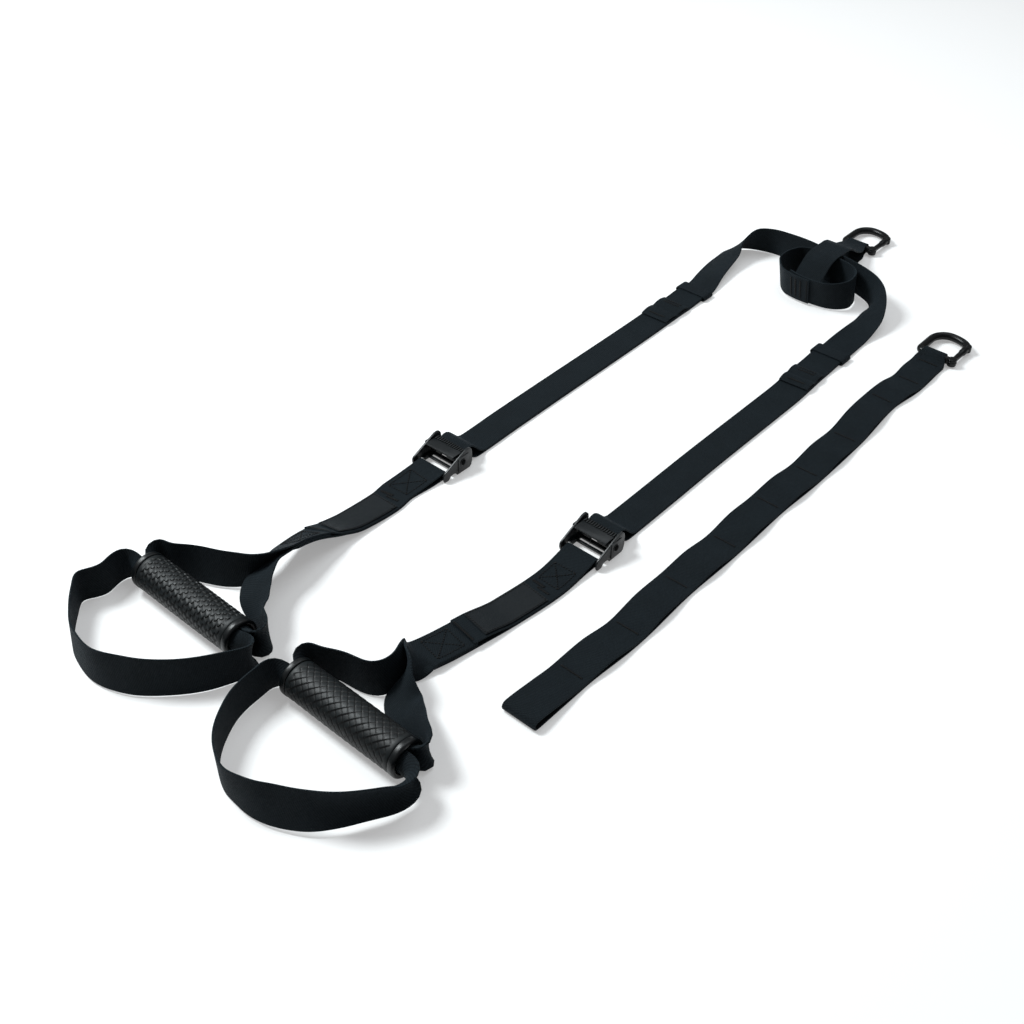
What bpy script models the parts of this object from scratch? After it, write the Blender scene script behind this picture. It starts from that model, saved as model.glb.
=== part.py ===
"""Suspension trainer, laid out on the floor: two handles on cam-buckled webbing legs, a locking
loop and an equalizer loop with its carabiner, and a separate stitched anchor strap with another.

Metres, +Z up, +Y along the straps from the handles to the carabiners, floor at z = 0.
"""

import math

import bmesh
import bpy
from mathutils import Matrix, Vector

# Webbing
WEB_WIDTH = 0.038
WEB_THICKNESS = 0.0018
FIT_GAP = 0.0003
FINE_STEP = 0.008
RIBBON_STEP = 0.014
LONG_STEP = 0.02
KEEPER_WIDTH = 0.018
KEEPER_THICKNESS = 0.0012
PATCH_THICKNESS = 0.0009
PATCH_WIDTH = 0.034
PATCH_LENGTH = 0.076
EYE_WIDTH = 0.028

# Layout along and across the straps
LEG_SPACING = 0.207
LEG_RUN = 0.573
TAIL_LENGTH = 0.466
TAIL_STAGGER = 0.012
LINK_LENGTH = 0.204
GRIP_SPACING = 0.210
ANCHOR_OFFSET = 0.196
ANCHOR_START = 0.222
ANCHOR_LENGTH = 0.756

# Cam buckle
FRAME_WIDTH = 0.0485
FRAME_LENGTH = 0.044
FRAME_HEIGHT = 0.0255
PLATE_THICKNESS = 0.0026
PIVOT_HEIGHT = 0.0135
PIVOT_SETBACK = 0.0155
PIN_DIAMETER = 0.0045
PIN_CLEARANCE = 0.0003
FRONT_BAR_DIAMETER = 0.0046
REAR_BAR_DIAMETER = 0.0064
LEVER_WIDTH = 0.0395
LEVER_LENGTH = 0.0175
LEVER_THICKNESS = 0.0022
LEVER_TOP = 0.0215
TOOTH_COUNT = 13
TOOTH_DEPTH = 0.0013
SPRING_WIRE = 0.0009
SPRING_TURNS = 5

# Grip
GRIP_LENGTH = 0.142
GRIP_DIAMETER = 0.038
GRIP_BORE = 0.028
TUBE_WALL = 0.0016
CAP_LENGTH = 0.0068
CAP_OVERLAP = 0.004
STRAP_CLEARANCE = 0.0005

# Carabiner
RING_WIDTH = 0.052
RING_LENGTH = 0.060
ROD_DIAMETER = 0.0095
GATE_DIAMETER = 0.0088
GATE_PIN_DIAMETER = 0.003
TONGUE_THICKNESS = 0.0038
EYE_SHIFT = 0.0015

# Locking loop and equalizer loop
LOOP_LENGTH = 0.104
LOOP_DEPTH = 0.072
EQUALIZER_REACH = 0.1385
TURN_RADIUS = 0.002

# Stitched anchor strap
PILLOW_HEIGHT = 0.0032
NOSE_HEIGHT = 0.0095

# Handle straps
HAND_DROP = 0.098
FOOT_DROP = 0.116

UP = Vector((0, 0, 1))
ACROSS = Vector((1, 0, 0))
LAYER = WEB_THICKNESS + FIT_GAP
HALF_WEB = WEB_THICKNESS / 2


def material(name, colour, roughness, metallic):
    """A Principled material with one colour, roughness and metallic value."""
    made = bpy.data.materials.new(name)
    made.use_nodes = True
    shader = made.node_tree.nodes["Principled BSDF"]
    shader.inputs["Base Color"].default_value = (*colour, 1)
    shader.inputs["Roughness"].default_value = roughness
    shader.inputs["Metallic"].default_value = metallic
    return made


def clear_scene():
    """Remove every object that the open file holds."""
    for item in list(bpy.data.objects):
        bpy.data.objects.remove(item, do_unlink=True)


def add_object(name, mesh, finish, parent=None):
    """Link a mesh as a named object with one material, under an empty if one is given."""
    item = bpy.data.objects.new(name, mesh)
    bpy.context.scene.collection.objects.link(item)
    if not mesh.materials:
        mesh.materials.append(finish)
    item.parent = parent
    return item


def add_empty(name, place):
    """An empty at a joint's axis or a sub-assembly's origin."""
    item = bpy.data.objects.new(name, None)
    bpy.context.scene.collection.objects.link(item)
    item.location = place
    return item


def mesh_of(shape, name, smooth_angle=None):
    """Turn a bmesh into a mesh with its faces outward."""
    bmesh.ops.recalc_face_normals(shape, faces=shape.faces)
    mesh = bpy.data.meshes.new(name)
    shape.to_mesh(mesh)
    shape.free()
    if smooth_angle is not None:
        mesh.shade_smooth()
        mesh.set_sharp_from_angle(angle=smooth_angle)
    return mesh


SMOOTH = math.radians(40)
LEAST_CURL = 1e-6


# Ribbons of webbing


def station(point, width, curl=0.0, breadth=WEB_WIDTH):
    """One place on a strap: centre, direction across it, how far it curls, and its breadth."""
    return (*point, *width.normalized(), curl, breadth)


def spans_of(stations, closed):
    """Distances between neighbouring stations, the last back to the first on a closed strap."""
    count = len(stations)
    ends = range(count if closed else count - 1)
    points = [Vector(one[:3]) for one in stations]
    return [(points[(i + 1) % count] - points[i]).length for i in ends]


def steady_slopes(values, spans, closed):
    """Slopes through the values that never overshoot them."""
    count = len(values)
    rises = [(values[(i + 1) % count] - values[i]) / span for i, span in enumerate(spans)]
    slopes = []
    for i in range(count):
        if not closed and i in (0, count - 1):
            slopes.append(rises[0] if i == 0 else rises[-1])
            continue
        before, after = rises[i - 1], rises[i]
        if before * after <= 0:
            slopes.append(0.0)
            continue
        first, second = 2 * spans[i] + spans[i - 1], spans[i] + 2 * spans[i - 1]
        slopes.append((first + second) / (first / before + second / after))
    return slopes


def sections_of(stations, closed=False, step=RIBBON_STEP):
    """Cross-sections along a smooth curve: point, tangent, width direction, normal, curl, breadth."""
    spans = spans_of(stations, closed)
    columns = list(zip(*stations))
    slopes = [steady_slopes(column, spans, closed) for column in columns]
    rows = []
    for i, span in enumerate(spans):
        pieces = max(1, round(span / step))
        after = (i + 1) % len(stations)
        for j in range(pieces):
            t = j / pieces
            a, b = 2 * t**3 - 3 * t**2 + 1, t**3 - 2 * t**2 + t
            c, d = -2 * t**3 + 3 * t**2, t**3 - t**2
            rows.append([
                a * column[i] + b * span * slope[i] + c * column[after] + d * span * slope[after]
                for column, slope in zip(columns, slopes)
            ])
    if not closed:
        rows.append(list(stations[-1]))
    sections = []
    for i, row in enumerate(rows):
        ahead = rows[(i + 1) % len(rows)] if closed else rows[min(i + 1, len(rows) - 1)]
        behind = rows[i - 1] if closed or i else rows[0]
        point = Vector(row[:3])
        forward = (Vector(ahead[:3]) - point).normalized()
        backward = (point - Vector(behind[:3])).normalized()
        tangent = (forward + backward).normalized()
        width = Vector(row[3:6])
        width = (width - tangent * width.dot(tangent)).normalized()
        sections.append((point, tangent, width, tangent.cross(width), row[6], row[7]))
    return sections


def ribbon(name, stations, finish, closed=False, lanes=1, step=RIBBON_STEP):
    """A strap of webbing through its stations, as one closed solid."""
    return strap_of(name, sections_of(stations, closed, step), finish, closed, lanes)


def strap_of(name, sections, finish, closed=False, lanes=1, thickness=WEB_THICKNESS):
    """A strap of even thickness through cross-sections, as one closed solid.

    Both faces are split along the same diagonals, so that a twist keeps its thickness.
    """
    shape = bmesh.new()
    rings = []
    for point, _, width, normal, curl, breadth in sections:
        upper, lower = [], []
        for lane in range(lanes + 1):
            share = lane / lanes - 0.5
            turn = curl * share
            bend = breadth / curl if abs(curl) > LEAST_CURL else 0.0
            if bend:
                place = point + width * bend * math.sin(turn) - normal * bend * (1 - math.cos(turn))
            else:
                place = point + width * breadth * share
            out = normal * math.cos(turn) + width * math.sin(turn)
            upper.append(shape.verts.new(place + out * thickness / 2))
            lower.append(shape.verts.new(place - out * thickness / 2))
        rings.append(upper + lower[::-1])
    pairs = list(zip(rings, rings[1:]))
    if closed:
        pairs.append((rings[-1], rings[0]))
    size = 2 * (lanes + 1)
    for ring, other in pairs:
        for k in range(size):
            near, after, far, beside = ring[k], ring[(k + 1) % size], other[(k + 1) % size], other[k]
            if k <= lanes:
                shape.faces.new((near, after, far))
                shape.faces.new((near, far, beside))
            else:
                shape.faces.new((near, after, beside))
                shape.faces.new((after, far, beside))
    if not closed:
        for ring in (rings[0], rings[-1]):
            for k in range(lanes):
                shape.faces.new((ring[k], ring[k + 1], ring[size - 2 - k], ring[size - 1 - k]))
    return add_object(name, mesh_of(shape, name), finish)


def arc(centre, radius, start, end, count, width, breadth=WEB_WIDTH, axis=1):
    """Stations on an arc in the plane of Z and Y (axis 1) or X (axis 0), angles from that axis."""
    stations = []
    for i in range(count + 1):
        angle = start + (end - start) * i / count
        place = Vector(centre)
        place[axis] += radius * math.cos(angle)
        place.z += radius * math.sin(angle)
        stations.append(station(place, width, breadth=breadth))
    return stations


# Solids from profiles


def extruded(outline, across, start, length):
    """A bmesh prism: an outline of two coordinates carried along one axis."""
    shape = bmesh.new()
    plane = [axis for axis in range(3) if axis != across]
    verts = []
    for first, second in outline:
        place = Vector((0, 0, 0))
        place[plane[0]], place[plane[1]], place[across] = first, second, start
        verts.append(shape.verts.new(place))
    face = shape.faces.new(verts)
    grown = bmesh.ops.extrude_face_region(shape, geom=[face])
    moved = [item for item in grown["geom"] if isinstance(item, bmesh.types.BMVert)]
    shift = Vector((0, 0, 0))
    shift[across] = length
    bmesh.ops.translate(shape, verts=moved, vec=shift)
    return shape


def turned(name, profile, centre, finish, steps=24, parent=None):
    """A ring or tube: a closed profile of distance along X and radius, spun around the X axis."""
    shape = bmesh.new()
    verts = [shape.verts.new((along, radius, 0)) for along, radius in profile]
    edges = [shape.edges.new((verts[i - 1], verts[i])) for i in range(len(verts))]
    bmesh.ops.spin(
        shape, geom=verts + edges, cent=(0, 0, 0), axis=ACROSS, angle=2 * math.pi,
        steps=steps, use_merge=True,
    )
    item = add_object(name, mesh_of(shape, name, SMOOTH), finish, parent)
    item.location = centre
    return item


def box_mesh(name, low, high):
    """A plain block between two corners, for cutting or joining."""
    shape = bmesh.new()
    middle = (Vector(low) + Vector(high)) / 2
    size = Vector(high) - Vector(low)
    bmesh.ops.create_cube(shape, size=1, matrix=Matrix.Translation(middle) @ Matrix.Diagonal((*size, 1)))
    return mesh_of(shape, name)


def round_bar(name, radius, start, end, sides=20):
    """A plain round bar along X, Y or Z between two points."""
    shape = bmesh.new()
    start, end = Vector(start), Vector(end)
    turn = UP.rotation_difference(end - start).to_matrix().to_4x4()
    bmesh.ops.create_cone(
        shape, cap_ends=True, segments=sides, radius1=radius, radius2=radius,
        depth=(end - start).length, matrix=Matrix.Translation((start + end) / 2) @ turn,
    )
    return mesh_of(shape, name, SMOOTH)


def swept(name, points, radius, sides=12):
    """A rod of even thickness along a line of points, with flat ends."""
    curve = bpy.data.curves.new(name, "CURVE")
    curve.dimensions = "3D"
    curve.bevel_depth = radius
    curve.bevel_resolution = sides // 4 - 1
    curve.use_fill_caps = True
    line = curve.splines.new("POLY")
    line.points.add(len(points) - 1)
    for slot, point in zip(line.points, points):
        slot.co = (*point, 1)
    item = bpy.data.objects.new(name, curve)
    bpy.context.scene.collection.objects.link(item)
    mesh = settled(item, name)
    shape = bmesh.new()
    shape.from_mesh(mesh)
    bmesh.ops.remove_doubles(shape, verts=shape.verts, dist=radius / 1000)
    return mesh_of(shape, name, SMOOTH)


def settled(item, name):
    """The object's mesh after its modifiers; the object itself is removed."""
    view = bpy.context.evaluated_depsgraph_get()
    mesh = bpy.data.meshes.new_from_object(item.evaluated_get(view))
    mesh.name = name
    bpy.data.objects.remove(item, do_unlink=True)
    return mesh


def combined(name, base, steps):
    """A mesh after joining and cutting others: each step is UNION or DIFFERENCE and a mesh."""
    target = bpy.data.objects.new(name, base)
    bpy.context.scene.collection.objects.link(target)
    tools = []
    for operation, mesh in steps:
        tool = bpy.data.objects.new("tool", mesh)
        bpy.context.scene.collection.objects.link(tool)
        tool.hide_render = True
        tool.display_type = "WIRE"
        tools.append(tool)
        change = target.modifiers.new(operation, "BOOLEAN")
        change.operation = operation
        change.object = tool
    bpy.context.view_layer.update()
    mesh = settled(target, name)
    for tool in tools:
        bpy.data.objects.remove(tool, do_unlink=True)
    mesh.shade_smooth()
    mesh.set_sharp_from_angle(angle=SMOOTH)
    return mesh


# Cam buckle, with its pivot above the local origin and its handle end towards -Y

REAR_EDGE = PIVOT_SETBACK
FRONT_EDGE = PIVOT_SETBACK - FRAME_LENGTH
INNER_HALF = FRAME_WIDTH / 2 - PLATE_THICKNESS
REAR_BAR_RADIUS = REAR_BAR_DIAMETER / 2
FRONT_BAR_RADIUS = FRONT_BAR_DIAMETER / 2
REAR_BAR_Y = REAR_EDGE - REAR_BAR_RADIUS - FIT_GAP * 2
REAR_BAR_Z = FRAME_HEIGHT * 0.55
FRONT_BAR_Y = FRONT_EDGE + FRONT_BAR_RADIUS * 2.8
FRONT_BAR_Z = FRONT_BAR_RADIUS + FIT_GAP + WEB_THICKNESS
PLATE_TOP_SHARES = ((1, 1), (0.78, 0.97), (0.5, 0.81), (0.05, 0.64), (0, 0.58))
PLATE_ARCH_SHARES = ((0.05, 0), (0.08, 0.12), (0.14, 0.17), (0.34, 0.17), (0.42, 0.1), (0.45, 0))
BASE_PLATE_SHARES = (0.44, 0.67)
BASE_SLOT_SHARES = (0.51, 0.6)
BARREL_RADIUS = PIN_DIAMETER / 2 + LEVER_THICKNESS
SPRING_RADIUS = PIN_DIAMETER / 2 + FIT_GAP + SPRING_WIRE / 2
SPRING_ROOM = SPRING_WIRE * (SPRING_TURNS + 3) * 1.3


def side_plate_outline():
    """Profile of a side plate, along the strap and upward: sloping top and an arch underneath."""
    def at(share_y, share_z):
        return FRONT_EDGE + share_y * FRAME_LENGTH, share_z * FRAME_HEIGHT
    outline = [at(0, 0)] + [at(*pair) for pair in PLATE_ARCH_SHARES] + [at(1, 0)]
    return outline + [at(*pair) for pair in PLATE_TOP_SHARES]


def buckle_frame_mesh():
    """Two side plates joined by the two webbing bars and a slotted base plate."""
    def plate(side):
        start = INNER_HALF if side > 0 else -FRAME_WIDTH / 2
        shape = extruded(side_plate_outline(), 0, start, PLATE_THICKNESS)
        bmesh.ops.bevel(
            shape, geom=shape.edges[:], offset=PLATE_THICKNESS / 6, offset_type="OFFSET",
            segments=1, profile=0.5, affect="EDGES", material=-1,
        )
        return mesh_of(shape, "plate")
    reach = INNER_HALF + PLATE_THICKNESS / 2
    base_low, base_high = (FRONT_EDGE + share * FRAME_LENGTH for share in BASE_PLATE_SHARES)
    slot_low, slot_high = (FRONT_EDGE + share * FRAME_LENGTH for share in BASE_SLOT_SHARES)
    base_z = PLATE_THICKNESS
    overrun = PLATE_THICKNESS
    pin_hole = PIN_DIAMETER / 2 + PIN_CLEARANCE
    return combined("buckle_frame", plate(-1), [
        ("UNION", round_bar("bar", REAR_BAR_RADIUS, (-reach, REAR_BAR_Y, REAR_BAR_Z), (reach, REAR_BAR_Y, REAR_BAR_Z))),
        ("UNION", round_bar("bar", FRONT_BAR_RADIUS, (-reach, FRONT_BAR_Y, FRONT_BAR_Z), (reach, FRONT_BAR_Y, FRONT_BAR_Z))),
        ("UNION", box_mesh("base", (-reach, base_low, base_z), (reach, base_high, base_z + PLATE_THICKNESS))),
        ("UNION", plate(1)),
        ("DIFFERENCE", box_mesh("slot", (-WEB_WIDTH * 0.42, slot_low, base_z - overrun),
                                (WEB_WIDTH * 0.42, slot_high, base_z + PLATE_THICKNESS + overrun))),
        ("DIFFERENCE", round_bar("hole", pin_hole, (-FRAME_WIDTH, 0, PIVOT_HEIGHT), (FRAME_WIDTH, 0, PIVOT_HEIGHT), 24)),
    ])


def lever_outline():
    """Profile of the cam lever about its pivot: thumb plate, toothed heel and web."""
    top = LEVER_TOP - PIVOT_HEIGHT
    under = top - LEVER_THICKNESS
    reach = REAR_BAR_RADIUS + FIT_GAP * 2 + WEB_THICKNESS
    heel_y = REAR_BAR_Y - reach * math.cos(math.pi / 4)
    heel_z = REAR_BAR_Z - PIVOT_HEIGHT + reach * math.sin(math.pi / 4)
    lip = heel_y - LEVER_LENGTH
    half = BARREL_RADIUS * 0.8
    return [
        (lip, under * 1.02), (lip - LEVER_THICKNESS * 0.3, under + LEVER_THICKNESS * 0.6), (lip, top * 1.03),
        (lip + LEVER_LENGTH * 0.3, top * 1.06), (lip + LEVER_LENGTH * 0.7, top * 1.04),
        (heel_y - LEVER_THICKNESS * 0.4, top * 0.95), (heel_y, heel_z),
        (heel_y - LEVER_THICKNESS, heel_z - LEVER_THICKNESS * 0.7), (half, 0), (-half, 0),
        (-half, under * 0.85), (lip + LEVER_THICKNESS, under * 0.98),
    ]


def cam_lever_mesh():
    """Thumb plate with a toothed heel, its barrel on the pin, and room for the spring."""
    body = extruded(lever_outline(), 0, -LEVER_WIDTH / 2, LEVER_WIDTH)
    barrel_end = LEVER_WIDTH / 2
    pitch = LEVER_WIDTH / TOOTH_COUNT
    heel_y = max(along for along, _ in lever_outline())
    notches = bmesh.new()
    for i in range(1, TOOTH_COUNT):
        centre = -LEVER_WIDTH / 2 + pitch * i
        notch = extruded(
            [(centre - pitch / 2.2, heel_y + TOOTH_DEPTH), (centre, heel_y - TOOTH_DEPTH), (centre + pitch / 2.2, heel_y + TOOTH_DEPTH)],
            2, 0, LEVER_TOP,
        )
        copy = bpy.data.meshes.new("notch")
        notch.to_mesh(copy)
        notch.free()
        notches.from_mesh(copy)
    room = SPRING_ROOM / 2
    deep = BARREL_RADIUS * 1.6
    roof = LEVER_TOP - PIVOT_HEIGHT - LEVER_THICKNESS * 1.25
    return combined("cam_lever", mesh_of(body, "lever"), [
        ("UNION", round_bar("barrel", BARREL_RADIUS, (-barrel_end, 0, 0), (barrel_end, 0, 0), 24)),
        ("DIFFERENCE", round_bar("bore", PIN_DIAMETER / 2 + PIN_CLEARANCE, (-FRAME_WIDTH, 0, 0), (FRAME_WIDTH, 0, 0), 24)),
        ("DIFFERENCE", box_mesh("room", (-room, -deep, -deep), (room, deep, roof))),
        ("DIFFERENCE", mesh_of(notches, "notches")),
    ])


def pin_profile():
    """Pivot pin with a low riveted head outside each side plate."""
    half = FRAME_WIDTH / 2 + FIT_GAP
    head = PIN_DIAMETER * 0.3
    radius = PIN_DIAMETER / 2
    wide = radius * 1.5
    return [
        (-half - head, wide * 0.7), (-half - head * 0.6, wide), (-half, wide), (-half, radius),
        (half, radius), (half, wide), (half + head * 0.6, wide), (half + head, wide * 0.7),
    ]


def solid_turned(name, profile, centre, finish, steps=24, parent=None):
    """A solid turned piece: an open profile whose ends are closed by flat faces."""
    shape = bmesh.new()
    verts = [shape.verts.new((along, radius, 0)) for along, radius in profile]
    edges = [shape.edges.new((verts[i], verts[i + 1])) for i in range(len(verts) - 1)]
    bmesh.ops.spin(
        shape, geom=verts + edges, cent=(0, 0, 0), axis=ACROSS, angle=2 * math.pi,
        steps=steps, use_merge=True,
    )
    bmesh.ops.holes_fill(shape, edges=[edge for edge in shape.edges if edge.is_boundary])
    item = add_object(name, mesh_of(shape, name, SMOOTH), finish, parent)
    item.location = centre
    return item


def spring_points():
    """Torsion spring about the pin: one leg ahead over the base, turns, one leg under the plate."""
    per_turn = 10
    pitch = SPRING_WIRE * 1.3
    length = pitch * SPRING_TURNS
    points = []
    rest = PLATE_THICKNESS * 2 + FIT_GAP + SPRING_WIRE / 2 - PIVOT_HEIGHT
    points.append(Vector((-length / 2, -SPRING_RADIUS * 1.9, rest)))
    count = per_turn * SPRING_TURNS
    for i in range(count + 1):
        angle = math.pi + 2 * math.pi * i / per_turn
        along = -length / 2 + length * i / count
        points.append(Vector((along, SPRING_RADIUS * math.cos(angle), SPRING_RADIUS * math.sin(angle))))
    points.append(Vector((length / 2, -SPRING_RADIUS * 1.15, SPRING_RADIUS * 1.35)))
    return points


def build_buckle(name, x, metal, dark):
    """One cam buckle: frame, lever on its pin, and torsion spring."""
    pivot = add_empty("cam_pivot_" + name, (x, 0, PIVOT_HEIGHT))
    frame = add_object("buckle_frame_" + name, buckle_frame_mesh(), metal)
    frame.location = (x, 0, 0)
    add_object("cam_lever_" + name, cam_lever_mesh(), metal, pivot)
    solid_turned("cam_pin_" + name, pin_profile(), (x, 0, PIVOT_HEIGHT), dark)
    spring = add_object("cam_spring_" + name, swept("spring", spring_points(), SPRING_WIRE / 2, 4), dark)
    spring.location = (x, 0, PIVOT_HEIGHT)


# Main strap: from the left tail through both buckles and the knot to the right tail

KNOT_X = LEG_SPACING * 0.036
KNOT_LIFT = LAYER + FIT_GAP
EDGE_HEIGHT = KNOT_LIFT + WEB_WIDTH / 2
SWAY_SHARES = {
    -1: ((0.17, -0.007), (0.6, -0.019)),
    1: ((0.17, -0.002), (0.35, -0.007), (0.6, -0.005)),
}
KEEPER_SWAY_SHARES = {-1: -0.027, 1: -0.019}
# Across in leg spacings, along in loop depths, height in webbing widths, then the direction across
LEFT_TWIST_SHARES = (
    (-0.575, -1.11, 0.045, (-1, 0, -0.08)), (-0.601, -0.79, 0.1, (-0.98, 0, -0.19)),
    (-0.628, -0.32, 0.165, (-0.95, 0, -0.3)), (-0.635, -0.11, 0.21, (-0.92, 0, -0.39)),
    (-0.645, 0.11, 0.33, (-0.79, 0, -0.62)), (-0.623, 0.36, 0.44, (-0.5, 0.35, -0.79)),
    (-0.558, 0.597, 0.5, (-0.13, 0.2, -0.97)), (-0.425, 0.722, 0.51, (0, 0.08, -1)),
    (-0.28, 0.71, 0.535, (0, 0, -1)), (-0.18, 0.68, 0.54, (0, -0.05, -1)),
    (-0.04, 0.63, 0.54, (0, -0.05, -1)), (0.12, 0.55, 0.54, (0, -0.1, -1)),
)
RIGHT_TWIST_SHARES = (
    (0.24, 0.44, 0.54, (-0.05, -0.15, -1)), (0.318, 0.34, 0.53, (-0.15, -0.1, -0.98)),
    (0.375, 0.17, 0.48, (-0.4, 0, -0.9)), (0.405, -0.08, 0.34, (-0.8, 0, -0.6)),
    (0.427, -0.46, 0.17, (-0.96, 0, -0.28)), (0.44, -1.0, 0.03, (-1, 0, 0)),
)
HUMP_SHARES = ((1.45, 1.4), (2.05, 1.24), (2.55, 0.83), (3.0, 0.42), (3.6, 0.2))
APPROACH_SHARES = ((2.6, 0), (1.95, 0.2), (1.42, 0.54))


def leg_stations(side):
    """One leg from its tail end, down to the buckle, round the rear bar and back up the floor."""
    x = side * LEG_SPACING / 2
    width = -ACROSS
    tail_end = TAIL_LENGTH + (TAIL_STAGGER if side < 0 else 0)
    keeper = tail_end - KEEPER_WIDTH / 2
    keeper_x = x + KEEPER_SWAY_SHARES[side] * LEG_SPACING
    upper = HALF_WEB + LAYER
    raised = KEEPER_THICKNESS + FIT_GAP
    bend = REAR_BAR_RADIUS + FIT_GAP + HALF_WEB
    tail = [station((keeper_x, tail_end, upper + raised), width),
            station((keeper_x, keeper - KEEPER_WIDTH * 0.7, upper + raised), width),
            station((keeper_x, keeper - KEEPER_WIDTH * 2, upper), width)]
    back = [station((keeper_x, keeper - KEEPER_WIDTH * 2, HALF_WEB), width),
            station((keeper_x, keeper - KEEPER_WIDTH * 0.7, HALF_WEB + raised), width),
            station((keeper_x, keeper + KEEPER_WIDTH * 0.6, HALF_WEB + raised), width)]
    sway = [(x + across * LEG_SPACING, along * LEG_RUN) for along, across in SWAY_SHARES[side]]
    tail += [station((at, y, upper), width) for at, y in reversed(sway)]
    back = [station((at, y, HALF_WEB), width) for at, y in sway] + back
    hump = [station((x, share_y * REAR_BAR_Y, share_z * REAR_BAR_Z), width) for share_y, share_z in HUMP_SHARES]
    hump.append(station((x, REAR_BAR_Y * 4.4, upper), width))
    wrap = arc((x, REAR_BAR_Y, REAR_BAR_Z), bend, math.pi * 0.5, math.pi * 1.45, 6, width)
    climb = [station((x, along * REAR_BAR_Y, HALF_WEB + height * REAR_BAR_Z), width)
             for along, height in reversed(APPROACH_SHARES)]
    return tail + hump[::-1] + wrap + climb + back


def knot_stations():
    """The stretch that twists up on its edge, passes the loops and twists down again."""
    stations = []
    for across, along, height, width in LEFT_TWIST_SHARES + RIGHT_TWIST_SHARES:
        place = (KNOT_X + across * LEG_SPACING, LEG_RUN + along * LOOP_DEPTH, HALF_WEB + height * WEB_WIDTH)
        stations.append(station(place, Vector(width)))
    return stations


def keeper_stations(side):
    """A sewn band round both layers of a leg."""
    x = side * LEG_SPACING / 2 + KEEPER_SWAY_SHARES[side] * LEG_SPACING
    tail_end = TAIL_LENGTH + (TAIL_STAGGER if side < 0 else 0)
    y = tail_end - KEEPER_WIDTH / 2 - FIT_GAP
    half = KEEPER_THICKNESS / 2
    bottom, top = half, KEEPER_THICKNESS + half + 2 * LAYER + FIT_GAP * 2
    middle, rise = (bottom + top) / 2, (top - bottom) / 2
    reach = WEB_WIDTH / 2 + FIT_GAP
    width = Vector((0, 1, 0))
    right = arc((x + reach, y, middle), rise, -math.pi / 2, math.pi / 2, 4, width, KEEPER_WIDTH, 0)
    left = arc((x - reach, y, middle), rise, math.pi / 2, math.pi * 1.5, 4, width, KEEPER_WIDTH, 0)
    return right + left


# Locking loop and equalizer loop, about the knot

# Across in loop lengths, along in loop depths, then the direction across the webbing
LOOP_SHARES = (
    (-0.22, -0.41, (0, 0.1, -1)), (-0.03, -0.452, (0, 0.18, -1)), (0.09, -0.45, (0, 0.2, -1)),
    (0.24, -0.42, (0.05, 0.2, -1)), (0.4, -0.28, (0.1, 0.15, -1)), (0.48, -0.05, (0.12, 0, -1)),
    (0.455, 0.17, (0.1, 0, -1)), (0.35, 0.36, (0, 0, -1)), (0.16, 0.465, (0, 0, -1)),
    (-0.08, 0.505, (0, 0, -1)), (-0.32, 0.47, (0, 0, -1)), (-0.45, 0.34, (0, 0, -1)),
    (-0.485, 0.1, (0.1, 0, -1)), (-0.47, -0.1, (0.15, 0.05, -1)), (-0.395, -0.29, (0.1, 0.15, -1)),
    (-0.25, -0.45, (0.05, 0.2, -1)), (-0.03, -0.495, (0, 0.22, -1)), (0.09, -0.49, (0, 0.22, -1)),
)
EYE_OFFSET_SHARE = -0.178
ARCH_OFFSET_SHARE = -0.1
# Along in loop depths from the knot, height as a share of the arch's own
ARCH_SHARES = ((-0.24, 0.2), (-0.12, 0.42), (0.1, 0.76), (0.24, 0.93))
FALL_SHARES = ((0.94, 0.94), (1.2, 0.66), (1.5, 0.42))


def locking_loop_stations():
    """Webbing on its edge, closed by a lap on the near side."""
    return [station((KNOT_X + across * LOOP_LENGTH, LEG_RUN + along * LOOP_DEPTH, EDGE_HEIGHT), Vector(width))
            for across, along, width in LOOP_SHARES]


ROD_RADIUS = ROD_DIAMETER / 2
EYE_RADIUS = ROD_RADIUS + FIT_GAP + HALF_WEB
BAR_HEIGHT = EYE_RADIUS + HALF_WEB
MAIN_BAR = Vector((KNOT_X + EYE_OFFSET_SHARE * LOOP_LENGTH + EYE_SHIFT, LEG_RUN + EQUALIZER_REACH, BAR_HEIGHT))
ANCHOR_BAR = Vector((ANCHOR_OFFSET + EYE_SHIFT, ANCHOR_LENGTH - ANCHOR_START, BAR_HEIGHT))


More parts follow.
